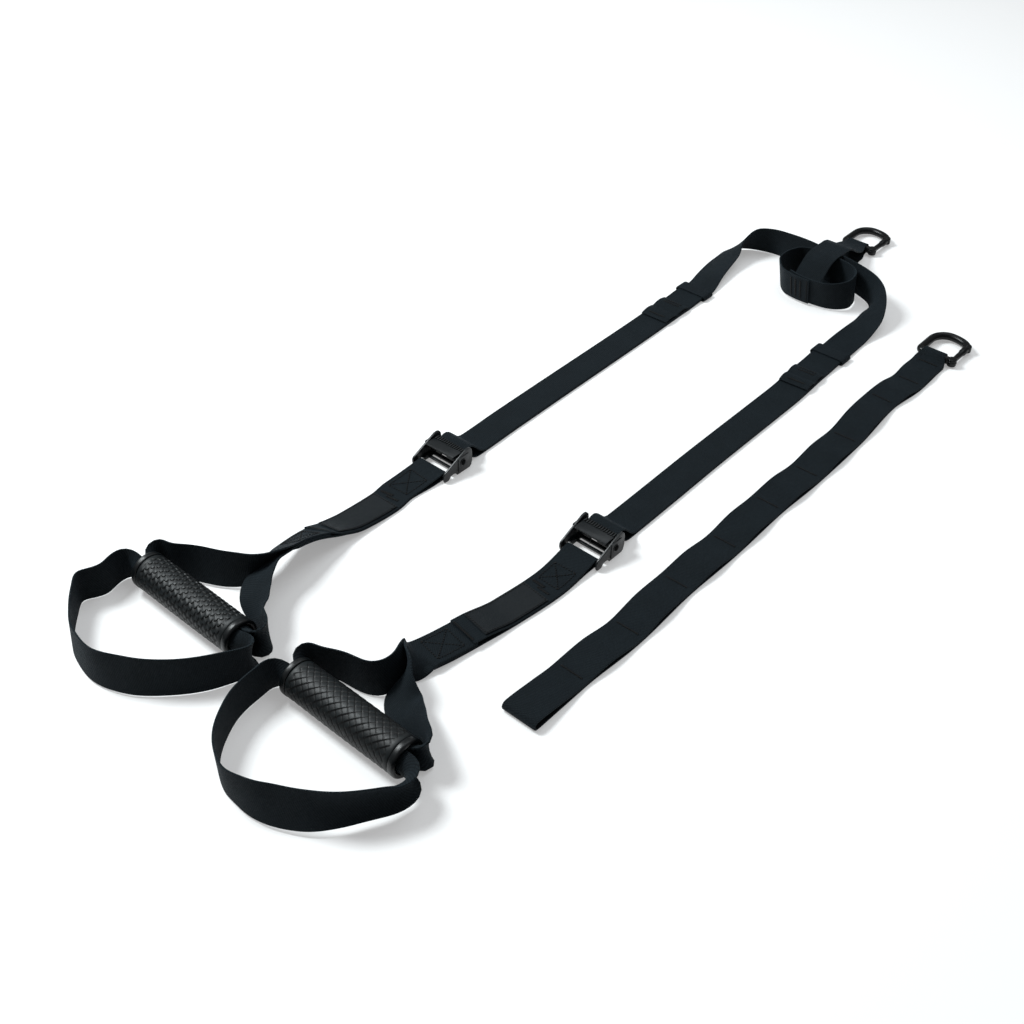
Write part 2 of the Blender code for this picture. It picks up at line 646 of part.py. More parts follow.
def equalizer_stations():
    """Round the carabiner, over the main strap and the loop, down inside it and back underneath."""
    eye_x = MAIN_BAR.x - EYE_SHIFT
    arch_x = KNOT_X + ARCH_OFFSET_SHARE * LOOP_LENGTH
    crest = EDGE_HEIGHT + WEB_WIDTH / 2 + FIT_GAP * 2 + HALF_WEB
    turn_y = LEG_RUN - LOOP_DEPTH * 0.28
    turn_z = HALF_WEB + TURN_RADIUS
    eye = arc((eye_x, MAIN_BAR.y, BAR_HEIGHT), EYE_RADIUS, math.pi * 0.6, -math.pi * 0.5, 7, ACROSS, EYE_WIDTH)
    under = [station((eye_x, MAIN_BAR.y - WEB_WIDTH * 0.5, HALF_WEB), ACROSS),
             station((arch_x, LEG_RUN + LOOP_DEPTH * 0.8, HALF_WEB), ACROSS)]
    turn = arc((arch_x, turn_y, turn_z), TURN_RADIUS, -math.pi * 0.5, -math.pi * 1.35, 5, ACROSS)
    rise = [station((arch_x, LEG_RUN + along * LOOP_DEPTH, share * crest), ACROSS) for along, share in ARCH_SHARES]
    crown = [station((arch_x, LEG_RUN + along * LOOP_DEPTH, crest), ACROSS) for along in (0.42, 0.79)]
    fall = [station((arch_x + (eye_x - arch_x) * (along - 0.9), LEG_RUN + along * LOOP_DEPTH, share * crest), ACROSS)
            for along, share in FALL_SHARES]
    return eye + under + turn + rise + crown + fall


# Anchor strap: two layers tacked together at intervals, open at the near end

TACK_SHARES = (0.09, 0.192, 0.305, 0.405, 0.512, 0.613, 0.72, 0.838, 0.915, 0.972)
ANCHOR_SWAY_SHARES = ((0.01, -0.0), (0.09, 0.0), (0.192, 0.1), (0.305, 0.02), (0.405, 0.06), (0.512, 0.02),
                      (0.613, 0.08), (0.72, 0.05), (0.838, -0.11), (0.915, 0.03), (0.972, 0.0))


def anchor_stations():
    """Flat lower layer, round the carabiner's bar, and back over the pockets to the open nose."""
    x = ANCHOR_OFFSET
    start = -ANCHOR_START
    half_nose = (NOSE_HEIGHT - HALF_WEB) / 2
    def at(share, sway=0.0):
        return x + sway * WEB_WIDTH, start + share * ANCHOR_LENGTH
    lower = [station((*at(share, sway), HALF_WEB), ACROSS) for share, sway in ANCHOR_SWAY_SHARES]
    eye = arc((x, ANCHOR_BAR.y, BAR_HEIGHT), EYE_RADIUS, -math.pi * 0.5, math.pi * 0.6, 7, ACROSS, EYE_WIDTH)
    upper = []
    sways = dict(ANCHOR_SWAY_SHARES)
    for i in reversed(range(len(TACK_SHARES))):
        share = TACK_SHARES[i]
        upper.append(station((*at(share, sways[share]), HALF_WEB + LAYER), ACROSS))
        if i:
            middle = (share + TACK_SHARES[i - 1]) / 2
            lean = (sways[share] + sways[TACK_SHARES[i - 1]]) / 2
            height = HALF_WEB + LAYER + PILLOW_HEIGHT * min(1, (share - TACK_SHARES[i - 1]) * 10)
            upper.append(station((*at(middle, lean), height), ACROSS))
    upper.append(station((*at(0.05), (HALF_WEB + LAYER + NOSE_HEIGHT) / 2), ACROSS))
    nose = arc((x, start + half_nose, HALF_WEB + half_nose), half_nose, math.pi * 0.5, math.pi * 1.5, 6, ACROSS)
    return lower + eye + upper + nose[:-1]


# Carabiner, flat in its own plane with the webbing bar at the local origin

SIDE_X = RING_WIDTH / 2 - ROD_RADIUS
TOP_Y = RING_LENGTH - ROD_DIAMETER
GATE_TOP = TOP_Y * 0.74
TONGUE_REACH = SIDE_X - ROD_RADIUS * 1.75


def corner(centre, radius, start, end, count):
    """Points of a round corner in the plane of the carabiner."""
    return [Vector((centre[0] + radius * math.cos(start + (end - start) * i / count),
                    centre[1] + radius * math.sin(start + (end - start) * i / count), 0))
            for i in range(count + 1)]


def carabiner_points():
    """Line of the rod: gate end of the bar, spine, round top and down to the nose."""
    tight, round_left = ROD_RADIUS * 1.1, RING_WIDTH * 0.25
    round_right = TOP_Y - GATE_TOP - FIT_GAP * 2
    points = [Vector((TONGUE_REACH, 0, 0))]
    points += corner((-SIDE_X + tight, tight), tight, -math.pi / 2, -math.pi, 4)
    points += corner((-SIDE_X + round_left, TOP_Y - round_left), round_left, math.pi, math.pi / 2, 6)
    points += corner((SIDE_X - round_right, TOP_Y - round_right), round_right, math.pi / 2, 0, 6)
    return points


def carabiner_mesh():
    """Bent rod with a thin eye for the gate's pin and a tongue below the nose."""
    half = TONGUE_THICKNESS / 2
    eye = round_bar("eye", ROD_RADIUS, (SIDE_X, 0, -half), (SIDE_X, 0, half), 24)
    root = box_mesh("root", (TONGUE_REACH - ROD_RADIUS, -ROD_RADIUS * 0.9, -half), (SIDE_X, ROD_RADIUS * 0.4, half))
    latch = box_mesh("latch", (SIDE_X - ROD_RADIUS * 0.6, GATE_TOP - ROD_RADIUS, -half), (SIDE_X + ROD_RADIUS * 0.6, GATE_TOP + ROD_RADIUS, half))
    hole = round_bar("hole", GATE_PIN_DIAMETER / 2 + PIN_CLEARANCE, (SIDE_X, 0, -ROD_DIAMETER), (SIDE_X, 0, ROD_DIAMETER), 16)
    return combined("carabiner", swept("rod", carabiner_points(), ROD_RADIUS), [
        ("UNION", root), ("UNION", eye), ("UNION", latch), ("DIFFERENCE", hole),
    ])


def gate_mesh():
    """Straight gate, forked over the eye at its pin and slotted for the tongue at its tip."""
    radius = GATE_DIAMETER / 2
    slot = TONGUE_THICKNESS / 2 + FIT_GAP
    foot = ROD_RADIUS * 1.6
    body = round_bar("gate", radius, (0, -foot, 0), (0, GATE_TOP, 0), 20)
    fork = box_mesh("fork", (-ROD_DIAMETER, -ROD_DIAMETER, -slot), (ROD_DIAMETER, ROD_RADIUS + FIT_GAP * 3, slot))
    tip = box_mesh("tip", (-ROD_DIAMETER, GATE_TOP - ROD_RADIUS - FIT_GAP * 2, -slot), (ROD_DIAMETER, GATE_TOP + ROD_DIAMETER, slot))
    hole = round_bar("hole", GATE_PIN_DIAMETER / 2 + PIN_CLEARANCE, (0, 0, -ROD_DIAMETER), (0, 0, ROD_DIAMETER), 16)
    return combined("gate", body, [("DIFFERENCE", fork), ("DIFFERENCE", tip), ("DIFFERENCE", hole)])


def build_carabiner(name, bar, metal, steel):
    """One carabiner: body on its bar, gate on its pin."""
    swing = add_empty("swing_" + name, bar)
    hinge = add_empty("hinge_" + name, (SIDE_X, 0, 0))
    hinge.parent = swing
    add_object("carabiner_" + name, carabiner_mesh(), metal, swing)
    add_object("gate_" + name, gate_mesh(), metal, hinge)
    half = GATE_DIAMETER / 2 * 0.9
    pin = round_bar("pin", GATE_PIN_DIAMETER / 2, (0, 0, -half), (0, 0, half), 16)
    add_object("gate_pin_" + name, pin, steel, hinge)


# Handles

GRIP_RADIUS = GRIP_DIAMETER / 2
TUBE_RADIUS = GRIP_BORE / 2 + TUBE_WALL
CURL_RADIUS = GRIP_BORE / 2 - STRAP_CLEARANCE - HALF_WEB
CURL = WEB_WIDTH / CURL_RADIUS
LINK_END_Y = FRONT_BAR_Y - LINK_LENGTH
GRIP_Y = LINK_END_Y - HAND_DROP
GRIP_PLACE_SHARES = {-1: (-0.55, -0.019), 1: (0.455, -0.005)}
TIGHT_SHARES = ((0.05, 0.04, 0.6), (0.1, 0.2, -0.2), (0.02, 0.42, -0.3))
WIDE_SHARES = ((0.1, 0.02, 0.6), (0.35, 0.1, 0.1))
# Along in link lengths, across in link lengths, height in webbing widths, tilt of the right edge
LINK_SHARES = {
    -1: ((0.06, 0, 0, 0), (0.23, -0.012, 0, 0), (0.35, 0.003, 0, 0), (0.56, -0.003, 0.04, 0.06),
         (0.69, -0.015, 0.16, 0.22), (0.82, -0.014, 0.36, 0.42), (0.94, 0, 0.53, 0.56), (1, 0.01, 0.6, 0.6)),
    1: ((0.06, 0, 0, 0), (0.23, 0.008, 0, 0), (0.53, -0.02, 0, 0), (0.72, -0.052, 0, 0),
        (0.88, -0.079, 0.02, 0), (1, -0.1, 0.08, 0)),
}
# Across in grip lengths, along in hand drops, height in webbing widths, then lower to upper edge
LEFT_LEG_SHARES = {
    -1: ((0.106, 0.867, 0.73, (0.55, 0.1, 0.8)), (0.078, 0.735, 0.64, (0.3, 0.25, 0.9)),
         (0.028, 0.633, 0.55, (0.2, 0.3, 0.93)), (-0.042, 0.55, 0.51, (0, 0.3, 0.95)),
         (-0.13, 0.47, 0.5, (-0.12, 0.3, 0.94)), (-0.246, 0.393, 0.5, (-0.1, 0.33, 0.95)),
         (-0.366, 0.306, 0.5, (-0.1, 0.2, 0.97)), (-0.437, 0.25, 0.5, (0, 0.1, 1))),
    1: ((-0.084, 0.9, 0.34, (-0.7, 0, 0.7)), (-0.068, 0.776, 0.49, (-0.15, 0, 1)),
        (-0.06, 0.643, 0.5, (-0.1, 0.05, 1)), (-0.06, 0.52, 0.5, (-0.15, 0.2, 1)),
        (-0.092, 0.449, 0.5, (-0.1, 0.15, 1)), (-0.162, 0.393, 0.5, (0, 0.13, 1)),
        (-0.289, 0.362, 0.5, (0, 0.1, 1)), (-0.38, 0.327, 0.5, (0, 0, 1)), (-0.437, 0.28, 0.5, (0, 0, 1))),
}
RIGHT_LEG_SHARES = {
    -1: ((0.113, 0.816, 0.66, (0.75, 0.1, 0.65)), (0.169, 0.612, 0.66, (0.85, 0.2, 0.5)),
         (0.268, 0.449, 0.62, (0.85, 0.3, 0.45)), (0.39, 0.345, 0.55, (0.5, 0.35, 0.8)),
         (0.465, 0.275, 0.51, (0.2, 0.1, 0.97))),
    1: ((-0.062, 0.9, 0.42, (-0.7, 0, 0.7)), (-0.035, 0.81, 0.5, (-0.1, 0, 1)),
        (-0.014, 0.714, 0.47, (0.4, -0.1, 0.9)), (0.021, 0.592, 0.4, (0.66, 0.1, 0.74)),
        (0.07, 0.51, 0.33, (0.66, 0.45, 0.6)), (0.141, 0.444, 0.26, (0.7, 0.55, 0.45)),
        (0.268, 0.362, 0.33, (0.35, 0.7, 0.62)), (0.38, 0.306, 0.475, (0.3, 0.2, 0.93)),
        (0.45, 0.265, 0.5, (0.1, 0.05, 1))),
}
# Across in grip lengths, along in foot drops, then lower to upper edge
FOOT_SHARES = {
    -1: ((0.65, -0.26, (-0.15, 0.2, 1)), (0.59, -0.43, (-0.15, 0.25, 1)), (0.45, -0.61, (-0.1, 0.25, 1)),
         (0.21, -0.83, (-0.1, 0.3, 1)), (-0.05, -0.94, (0, 0.15, 1)), (-0.31, -0.9, (0.05, 0.1, 1)),
         (-0.54, -0.76, (0.2, 0.1, 1)), (-0.68, -0.57, (0.35, 0, 1)), (-0.71, -0.39, (0.35, 0, 1)),
         (-0.69, -0.25, (0.25, 0, 1))),
    1: ((0.56, -0.34, (-0.2, 0.1, 1)), (0.53, -0.49, (-0.15, 0.2, 1)), (0.455, -0.63, (-0.2, 0.3, 1)),
        (0.335, -0.77, (-0.2, 0.4, 0.95)), (0.175, -0.89, (-0.15, 0.4, 0.95)), (0.0, -0.97, (0, 0.2, 1)),
        (-0.155, -0.99, (0, 0, 1)), (-0.285, -0.94, (0, 0, 1)), (-0.415, -0.83, (0, 0, 1)),
        (-0.51, -0.65, (0, 0, 1)), (-0.58, -0.45, (0, 0, 1))),
}


def grip_centre(side):
    """Middle of a grip's axis; it lies on the floor."""
    across, along = GRIP_PLACE_SHARES[side]
    return Vector((across * GRIP_SPACING, GRIP_Y + along * GRIP_SPACING, GRIP_RADIUS))


def link_spine(side):
    """Centres of a handle link's lower layer, with width and upward directions."""
    x = side * LEG_SPACING / 2
    rows = []
    for along, across, height, tilt in LINK_SHARES[side]:
        point = Vector((x + across * LINK_LENGTH, FRONT_BAR_Y - along * LINK_LENGTH, HALF_WEB + height * WEB_WIDTH))
        rows.append((point, tilt))
    spine = []
    for i, (point, tilt) in enumerate(rows):
        run = (rows[min(i + 1, len(rows) - 1)][0] - rows[max(i - 1, 0)][0]).normalized()
        level = run.cross(UP).normalized()
        if level.x < 0:
            level = -level
        width = level * math.cos(tilt) + UP * math.sin(tilt)
        spine.append((point, width, (width.cross(-run)).normalized()))
    return spine


def link_stations(side):
    """Lower layer from the handle up to the buckle, round its front bar and back as upper layer."""
    spine = link_spine(side)
    x = side * LEG_SPACING / 2
    bend = FRONT_BAR_RADIUS + FIT_GAP + HALF_WEB
    eye = arc((x, FRONT_BAR_Y, FRONT_BAR_Z), bend, -math.pi * 0.5, math.pi * 0.5, 6, ACROSS)
    lower = [station(point, width) for point, width, _ in reversed(spine)]
    upper = []
    for (point, width, up), (along, *_) in zip(spine, LINK_SHARES[side]):
        layers = 3 if along > 0.8 else 1
        upper.append(station(point + up * LAYER * layers, width))
    return lower + eye + upper[1:]


def mouth(side, face, shares, inward):
    """Stations where a strap leaves one end of the tube and opens out of its curl."""
    across = GRIP_LENGTH / 2
    stations = [(side * across, inward * CURL_RADIUS, 1.0)]
    for out, aside, curl in shares:
        stations.append((side * (across + out * GRIP_BORE), inward * (CURL_RADIUS + aside * GRIP_BORE), curl))
    lift = HALF_WEB + WEB_WIDTH / 2 - GRIP_RADIUS
    return [(x, y, lift * (1 - curl), curl * face) for x, y, curl in stations]


def in_tube(centre, rows, width):
    """Turn rows about a grip's centre into stations on edge."""
    return [station(centre + Vector((x, y, z)), width, curl * CURL) for x, y, z, curl in rows]


def table_stations(centre, table, drop, up_sign):
    """Turn a table of shares about a grip into stations, heights above the floor."""
    made = []
    for row in table:
        across, along, direction = row[0], row[1], Vector(row[-1])
        height = row[2] if len(row) > 3 else WEB_HALF_SHARE
        place = (centre.x + across * GRIP_LENGTH, centre.y + along * drop, HALF_WEB + height * WEB_WIDTH)
        made.append(station(place, direction * up_sign))
    return made


WEB_HALF_SHARE = 0.5


def hand_strap_stations(side):
    """From the link down the left leg, through the grip and up the right leg to the link again."""
    centre = grip_centre(side)
    up_sign = -side
    end = [(point, width, -normal) for point, _, width, normal, _, _ in sections_of(link_stations(side), step=FINE_STEP)[:4]]
    run = (end[0][0] - end[1][0]).normalized()
    end.insert(0, (end[0][0] + run * LAYER * 2, *end[0][1:]))
    first, last = (1, 2) if side > 0 else (2, 1)
    finish = [station(point + up * LAYER * last, width) for point, width, up in end]
    start = [station(point + up * LAYER * first, width) for point, width, up in reversed(end)]
    on_edge = UP * up_sign
    face = -up_sign
    left = in_tube(centre, mouth(-1, face, TIGHT_SHARES, 1), on_edge)
    right = in_tube(centre, mouth(1, face, TIGHT_SHARES, 1), on_edge)
    down = table_stations(centre, LEFT_LEG_SHARES[side], HAND_DROP, up_sign)
    up = table_stations(centre, RIGHT_LEG_SHARES[side][::-1], HAND_DROP, up_sign)
    return start + down + left[::-1] + right + up + finish


def foot_strap_stations(side):
    """Through the grip to the right and round the front of the handle back to its left end."""
    centre = grip_centre(side)
    up_sign = -side
    on_edge = UP * up_sign
    face = up_sign
    left_way = WIDE_SHARES if side < 0 else TIGHT_SHARES
    left = in_tube(centre, mouth(-1, face, left_way, -1), on_edge)
    right = in_tube(centre, mouth(1, face, TIGHT_SHARES, -1), on_edge)
    around = table_stations(centre, FOOT_SHARES[side], FOOT_DROP, up_sign)
    return left[::-1] + right + around


def sleeve_profile():
    """Rubber sleeve: slightly crowned, a groove near each end and softened edges."""
    half = GRIP_LENGTH / 2 - CAP_LENGTH - FIT_GAP
    inner = TUBE_RADIUS + FIT_GAP
    wall = GRIP_RADIUS - inner
    groove = wall * 0.3
    right = [
        (0, GRIP_RADIUS), (half * 0.6, GRIP_RADIUS - groove * 0.2), (half - wall * 2.6, GRIP_RADIUS - groove * 0.4),
        (half - wall * 2.3, GRIP_RADIUS - groove * 1.4), (half - wall * 1.9, GRIP_RADIUS - groove * 1.4),
        (half - wall * 1.6, GRIP_RADIUS - groove * 0.4), (half - wall * 0.3, GRIP_RADIUS - groove * 0.5),
        (half, GRIP_RADIUS - groove * 1.6), (half, inner),
    ]
    return right + [(-along, radius) for along, radius in reversed(right[1:])]


def cap_profile(side):
    """End ring: rounded rim, bore in line with the tube and a step that seats on it."""
    outer, bore = GRIP_RADIUS, GRIP_BORE / 2
    inner = GRIP_LENGTH / 2 - CAP_LENGTH
    face = GRIP_LENGTH / 2
    rim = (outer - bore) / 2
    step = TUBE_RADIUS + FIT_GAP
    profile = [(inner, step), (inner, outer - rim * 0.25), (inner + rim * 0.25, outer)]
    for i in range(6):
        angle = math.pi / 2 - math.pi * i / 5
        profile.append((face - rim + rim * math.cos(angle), outer - rim + rim * math.sin(angle)))
    profile += [(inner + CAP_OVERLAP + FIT_GAP, bore), (inner + CAP_OVERLAP + FIT_GAP, step)]
    return [(along * side, radius) for along, radius in profile]


def build_grip(name, side, rubber, plastic):
    """Rubber sleeve on a plastic tube with a ring at each end, all turning on the straps inside."""
    centre = grip_centre(side)
    axis = add_empty("grip_axis_" + name, centre)
    half = GRIP_LENGTH / 2 - CAP_LENGTH + CAP_OVERLAP
    tube = [(-half, GRIP_BORE / 2), (half, GRIP_BORE / 2), (half, TUBE_RADIUS), (-half, TUBE_RADIUS)]
    for label, profile, finish in (
        ("grip_sleeve_", sleeve_profile(), rubber), ("grip_tube_", tube, plastic),
        ("grip_cap_left_end_", cap_profile(-1), plastic), ("grip_cap_right_end_", cap_profile(1), plastic),
    ):
        turned(label + name, profile, (0, 0, 0), finish, parent=axis)


PATCH_START_SHARE = 0.345


def patch_sections(side):
    """Cross-sections of a label patch lying on a link's upper layer, parallel to its facets."""
    laid = []
    run = 0.0
    start = FRONT_BAR_Y - PATCH_START_SHARE * LINK_LENGTH
    lift = HALF_WEB + FIT_GAP * 2 + PATCH_THICKNESS / 2
    upper = sections_of(link_stations(side)[len(LINK_SHARES[side]) + 7:], step=FINE_STEP)
    for one, other in zip(upper, upper[1:]):
        span = (other[0] - one[0]).length
        marks = [0.0] if start > one[0].y and run < PATCH_LENGTH and laid else []
        if not laid and other[0].y <= start:
            marks.append((start - one[0].y) / (other[0].y - one[0].y))
        for mark in marks:
            point, width, normal = (one[i].lerp(other[i], mark) for i in (0, 2, 3))
            laid.append((point + normal * lift, one[1], width, normal, 0.0, PATCH_WIDTH))
        if laid:
            covered = span * (1 - marks[-1]) if marks else 0.0
            if run + covered >= PATCH_LENGTH:
                mark = 1 - (run + covered - PATCH_LENGTH) / span
                point, width, normal = (one[i].lerp(other[i], mark) for i in (0, 2, 3))
                laid.append((point + normal * lift, one[1], width, normal, 0.0, PATCH_WIDTH))
                break
            run += covered
    return laid


def build():
    """Make every piece, then put the origin below the middle of the whole."""
    clear_scene()
    webbing = material("black webbing", (0.018, 0.019, 0.021), 0.82, 0.0)
    rubber = material("black rubber", (0.014, 0.015, 0.016), 0.5, 0.0)
    plastic = material("black plastic", (0.016, 0.016, 0.018), 0.35, 0.0)
    metal = material("black coated metal", (0.03, 0.031, 0.034), 0.35, 0.6)
    steel = material("steel", (0.35, 0.35, 0.36), 0.35, 1.0)

    ribbon("main_strap", leg_stations(-1) + knot_stations() + leg_stations(1)[::-1], webbing, step=LONG_STEP)
    ribbon("locking_loop", locking_loop_stations(), webbing)
    ribbon("equalizer_loop", equalizer_stations(), webbing, closed=True)
    ribbon("anchor_strap", anchor_stations(), webbing, closed=True, step=LONG_STEP)
    build_carabiner("main", MAIN_BAR, metal, steel)
    build_carabiner("anchor", ANCHOR_BAR, metal, steel)
    for name, side in (("left", -1), ("right", 1)):
        build_buckle(name, side * LEG_SPACING / 2, metal, steel)
        build_grip(name, side, rubber, plastic)
        strap_of("keeper_" + name, sections_of(keeper_stations(side), True), webbing, True,
                 thickness=KEEPER_THICKNESS)
        ribbon("handle_link_" + name, link_stations(side), webbing, lanes=2, step=FINE_STEP)
        strap_of("label_patch_" + name, patch_sections(side), webbing, lanes=2, thickness=PATCH_THICKNESS)
        ribbon("hand_strap_" + name, hand_strap_stations(side), webbing, lanes=4)
        ribbon("foot_strap_" + name, foot_strap_stations(side), webbing, closed=True, lanes=4)
    settle_origin()


def settle_origin():
    """Shift every piece so that the box around them stands centred on the origin."""
    bpy.context.view_layer.update()
    tops = [item for item in bpy.data.objects if item.parent is None]
    corners = [item.matrix_world @ Vector(corner) for item in bpy.data.objects if item.type == "MESH"
               for corner in item.bound_box]
    low = Vector(min(point[i] for point in corners) for i in range(3))
    high = Vector(max(point[i] for point in corners) for i in range(3))
    shift = Vector((-(low.x + high.x) / 2, -(low.y + high.y) / 2, -low.z))
    for item in tops:
        item.location += shift
    bpy.context.view_layer.update()
    for item in bpy.data.objects:
        if item.type == "EMPTY":
            print(item.name, [round(value, 5) for value in item.matrix_world.translation])


build()
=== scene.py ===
"""Looks of a suspension trainer laid out on a white floor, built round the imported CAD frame.

Two rubber grips with hand and foot loops hang on webbing legs with cam buckles, which meet in a
locking loop and an equalizer loop with a carabiner. A stitched anchor strap lies beside them.
Metres, +Z up, +Y along the straps from the handles to the carabiners, floor at z = 0.
"""

import logging
import math
from dataclasses import dataclass
from enum import Enum
from typing import Callable, Iterable, Sequence

import bmesh
import bpy
from mathutils import Matrix, Vector


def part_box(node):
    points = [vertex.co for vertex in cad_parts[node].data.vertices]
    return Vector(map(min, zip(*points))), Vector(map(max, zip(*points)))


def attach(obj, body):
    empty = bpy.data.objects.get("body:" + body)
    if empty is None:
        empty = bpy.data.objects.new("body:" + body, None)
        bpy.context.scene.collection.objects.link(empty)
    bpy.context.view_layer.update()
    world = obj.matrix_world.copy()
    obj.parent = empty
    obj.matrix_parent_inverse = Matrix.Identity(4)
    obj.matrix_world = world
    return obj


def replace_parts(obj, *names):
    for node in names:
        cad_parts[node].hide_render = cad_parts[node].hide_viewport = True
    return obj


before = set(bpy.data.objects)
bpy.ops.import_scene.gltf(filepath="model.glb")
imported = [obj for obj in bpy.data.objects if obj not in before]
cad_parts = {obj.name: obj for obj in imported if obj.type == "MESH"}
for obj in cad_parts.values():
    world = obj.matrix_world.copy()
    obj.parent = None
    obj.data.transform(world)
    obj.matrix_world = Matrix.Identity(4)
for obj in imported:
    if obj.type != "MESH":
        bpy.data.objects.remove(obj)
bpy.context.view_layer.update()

LOG = logging.getLogger("trainer")

Row = tuple[float, ...]
Point = tuple[float, float, float]
Finish = bpy.types.Material
Item = bpy.types.Object
Socket = bpy.types.NodeSocket
Shape = bmesh.types.BMesh
Vert = bmesh.types.BMVert
Edge = bmesh.types.BMEdge
UP = Vector((0, 0, 1))
ACROSS = Vector((1, 0, 0))
SIDEWAYS = Matrix.Rotation(math.pi / 2, 4, "Y")
TINY = 1e-6
SMOOTH = math.radians(38)


class Side(Enum):
    """Which of the two handles and legs a piece belongs to."""

    LEFT = -1
    RIGHT = 1

    @property
    def label(self) -> str:
        """The side's word in piece names."""
        return self.name.lower()


class Tread(Enum):
    """Pattern moulded into a grip's rubber."""

    SCALES = "scales"
    TILES = "tiles"


# Finishes


class NodeDesk:
    """Adds and joins the nodes of one material."""

    def __init__(self, name: str) -> None:
        """Open a new node material.

        Args:
            name: the material's name.
        """
        self.material = bpy.data.materials.new(name)
        self.material.use_nodes = True
        self.tree = self.material.node_tree
        self.shader = self.tree.nodes["Principled BSDF"]

    def add(self, kind: str, **settings: object) -> bpy.types.Node:
        """Add a node and set its properties.

        Args:
            kind: the node's type name without its ShaderNode prefix.
            settings: the node's properties by name.

        Returns:
            The new node.
        """
        node = self.tree.nodes.new("ShaderNode" + kind)
        for key, value in settings.items():
            setattr(node, key, value)
        return node

    def link(self, out: Socket, into: Socket) -> None:
        """Join an output to an input."""
        self.tree.links.new(out, into)

    def feed(self, name: str, out: Socket) -> None:
        """Join an output to the shader's socket of that name."""
        self.link(out, self.shader.inputs[name])

    def math(self, operation: str, first: object, second: object = 0.0) -> Socket:
        """A maths node on sockets or numbers.

        Args:
            operation: the maths node's operation.
            first: a socket or a number.
            second: a socket or a number.

        Returns:
            The node's output socket.
        """
        node = self.add("Math", operation=operation)
        for value, socket in ((first, node.inputs[0]), (second, node.inputs[1])):
            if isinstance(value, Socket):
                self.link(value, socket)
            else:
                socket.default_value = value
        return node.outputs[0]

    def noise(self, scale: float, detail: float = 3.0) -> Socket:
        """Noise on Object coordinates.

        Args:
            scale: cells to the metre.
            detail: finer layers of noise.

        Returns:
            The noise's value socket.
        """
        place = self.add("TexCoord")
        node = self.add("TexNoise")
        node.inputs["Scale"].default_value = scale
        node.inputs["Detail"].default_value = detail
        self.link(place.outputs["Object"], node.inputs["Vector"])
        return node.outputs["Fac"]

    def around(self, level: float, spread: float, scale: float, detail: float = 3.0) -> Socket:
        """Noise that swings evenly about a level.

        Args:
            level: the middle value.
            spread: from the lowest value to the highest.
            scale: cells to the metre.
            detail: finer layers of noise.

        Returns:
            The value's socket.
        """
        swing = self.math("MULTIPLY", self.noise(scale, detail), spread)
        return self.math("ADD", swing, level - spread / 2)

    def blend(self, first: Socket, second: Socket, share: float) -> Socket:
        """A share of the first value and the rest of the second."""
        rest = self.math("MULTIPLY", second, 1 - share)
        return self.math("ADD", self.math("MULTIPLY", first, share), rest)

    def ramp(self, value: Socket, dark: Sequence[float], light: Sequence[float],
             low: float = 0.3, high: float = 0.7) -> Socket:
        """Colours between two ends by a value.

        Args:
            value: the socket that picks the colour.
            dark: the colour at the low end.
            light: the colour at the high end.
            low: the value at the dark end.
            high: the value at the light end.

        Returns:
            The ramp's colour socket.
        """
        node = self.add("ValToRGB")
        node.color_ramp.elements[0].position = low
        node.color_ramp.elements[1].position = high
        node.color_ramp.elements[0].color = (*dark, 1)
        node.color_ramp.elements[1].color = (*light, 1)
        self.link(value, node.inputs[0])
        return node.outputs["Color"]

    def bump(self, height: Socket, depth: float, strength: float = 1.0,
             under: Socket | None = None) -> Socket:
        """Surface relief from a height.

        Args:
            height: the socket with heights from 0 to 1.
            depth: the relief's depth in metres.
            strength: how strongly it shows.
            under: another relief below this one.

        Returns:
            The normal socket.
        """
        node = self.add("Bump")
        node.inputs["Strength"].default_value = strength
        node.inputs["Distance"].default_value = depth
        self.link(height, node.inputs["Height"])
        if under is not None:
            self.link(under, node.inputs["Normal"])
        return node.outputs["Normal"]

    def set(self, **values: object) -> None:
        """Set the shader's own sockets by name, with spaces written as underscores."""
        for key, value in values.items():
            self.shader.inputs[key.replace("_", " ")].default_value = value


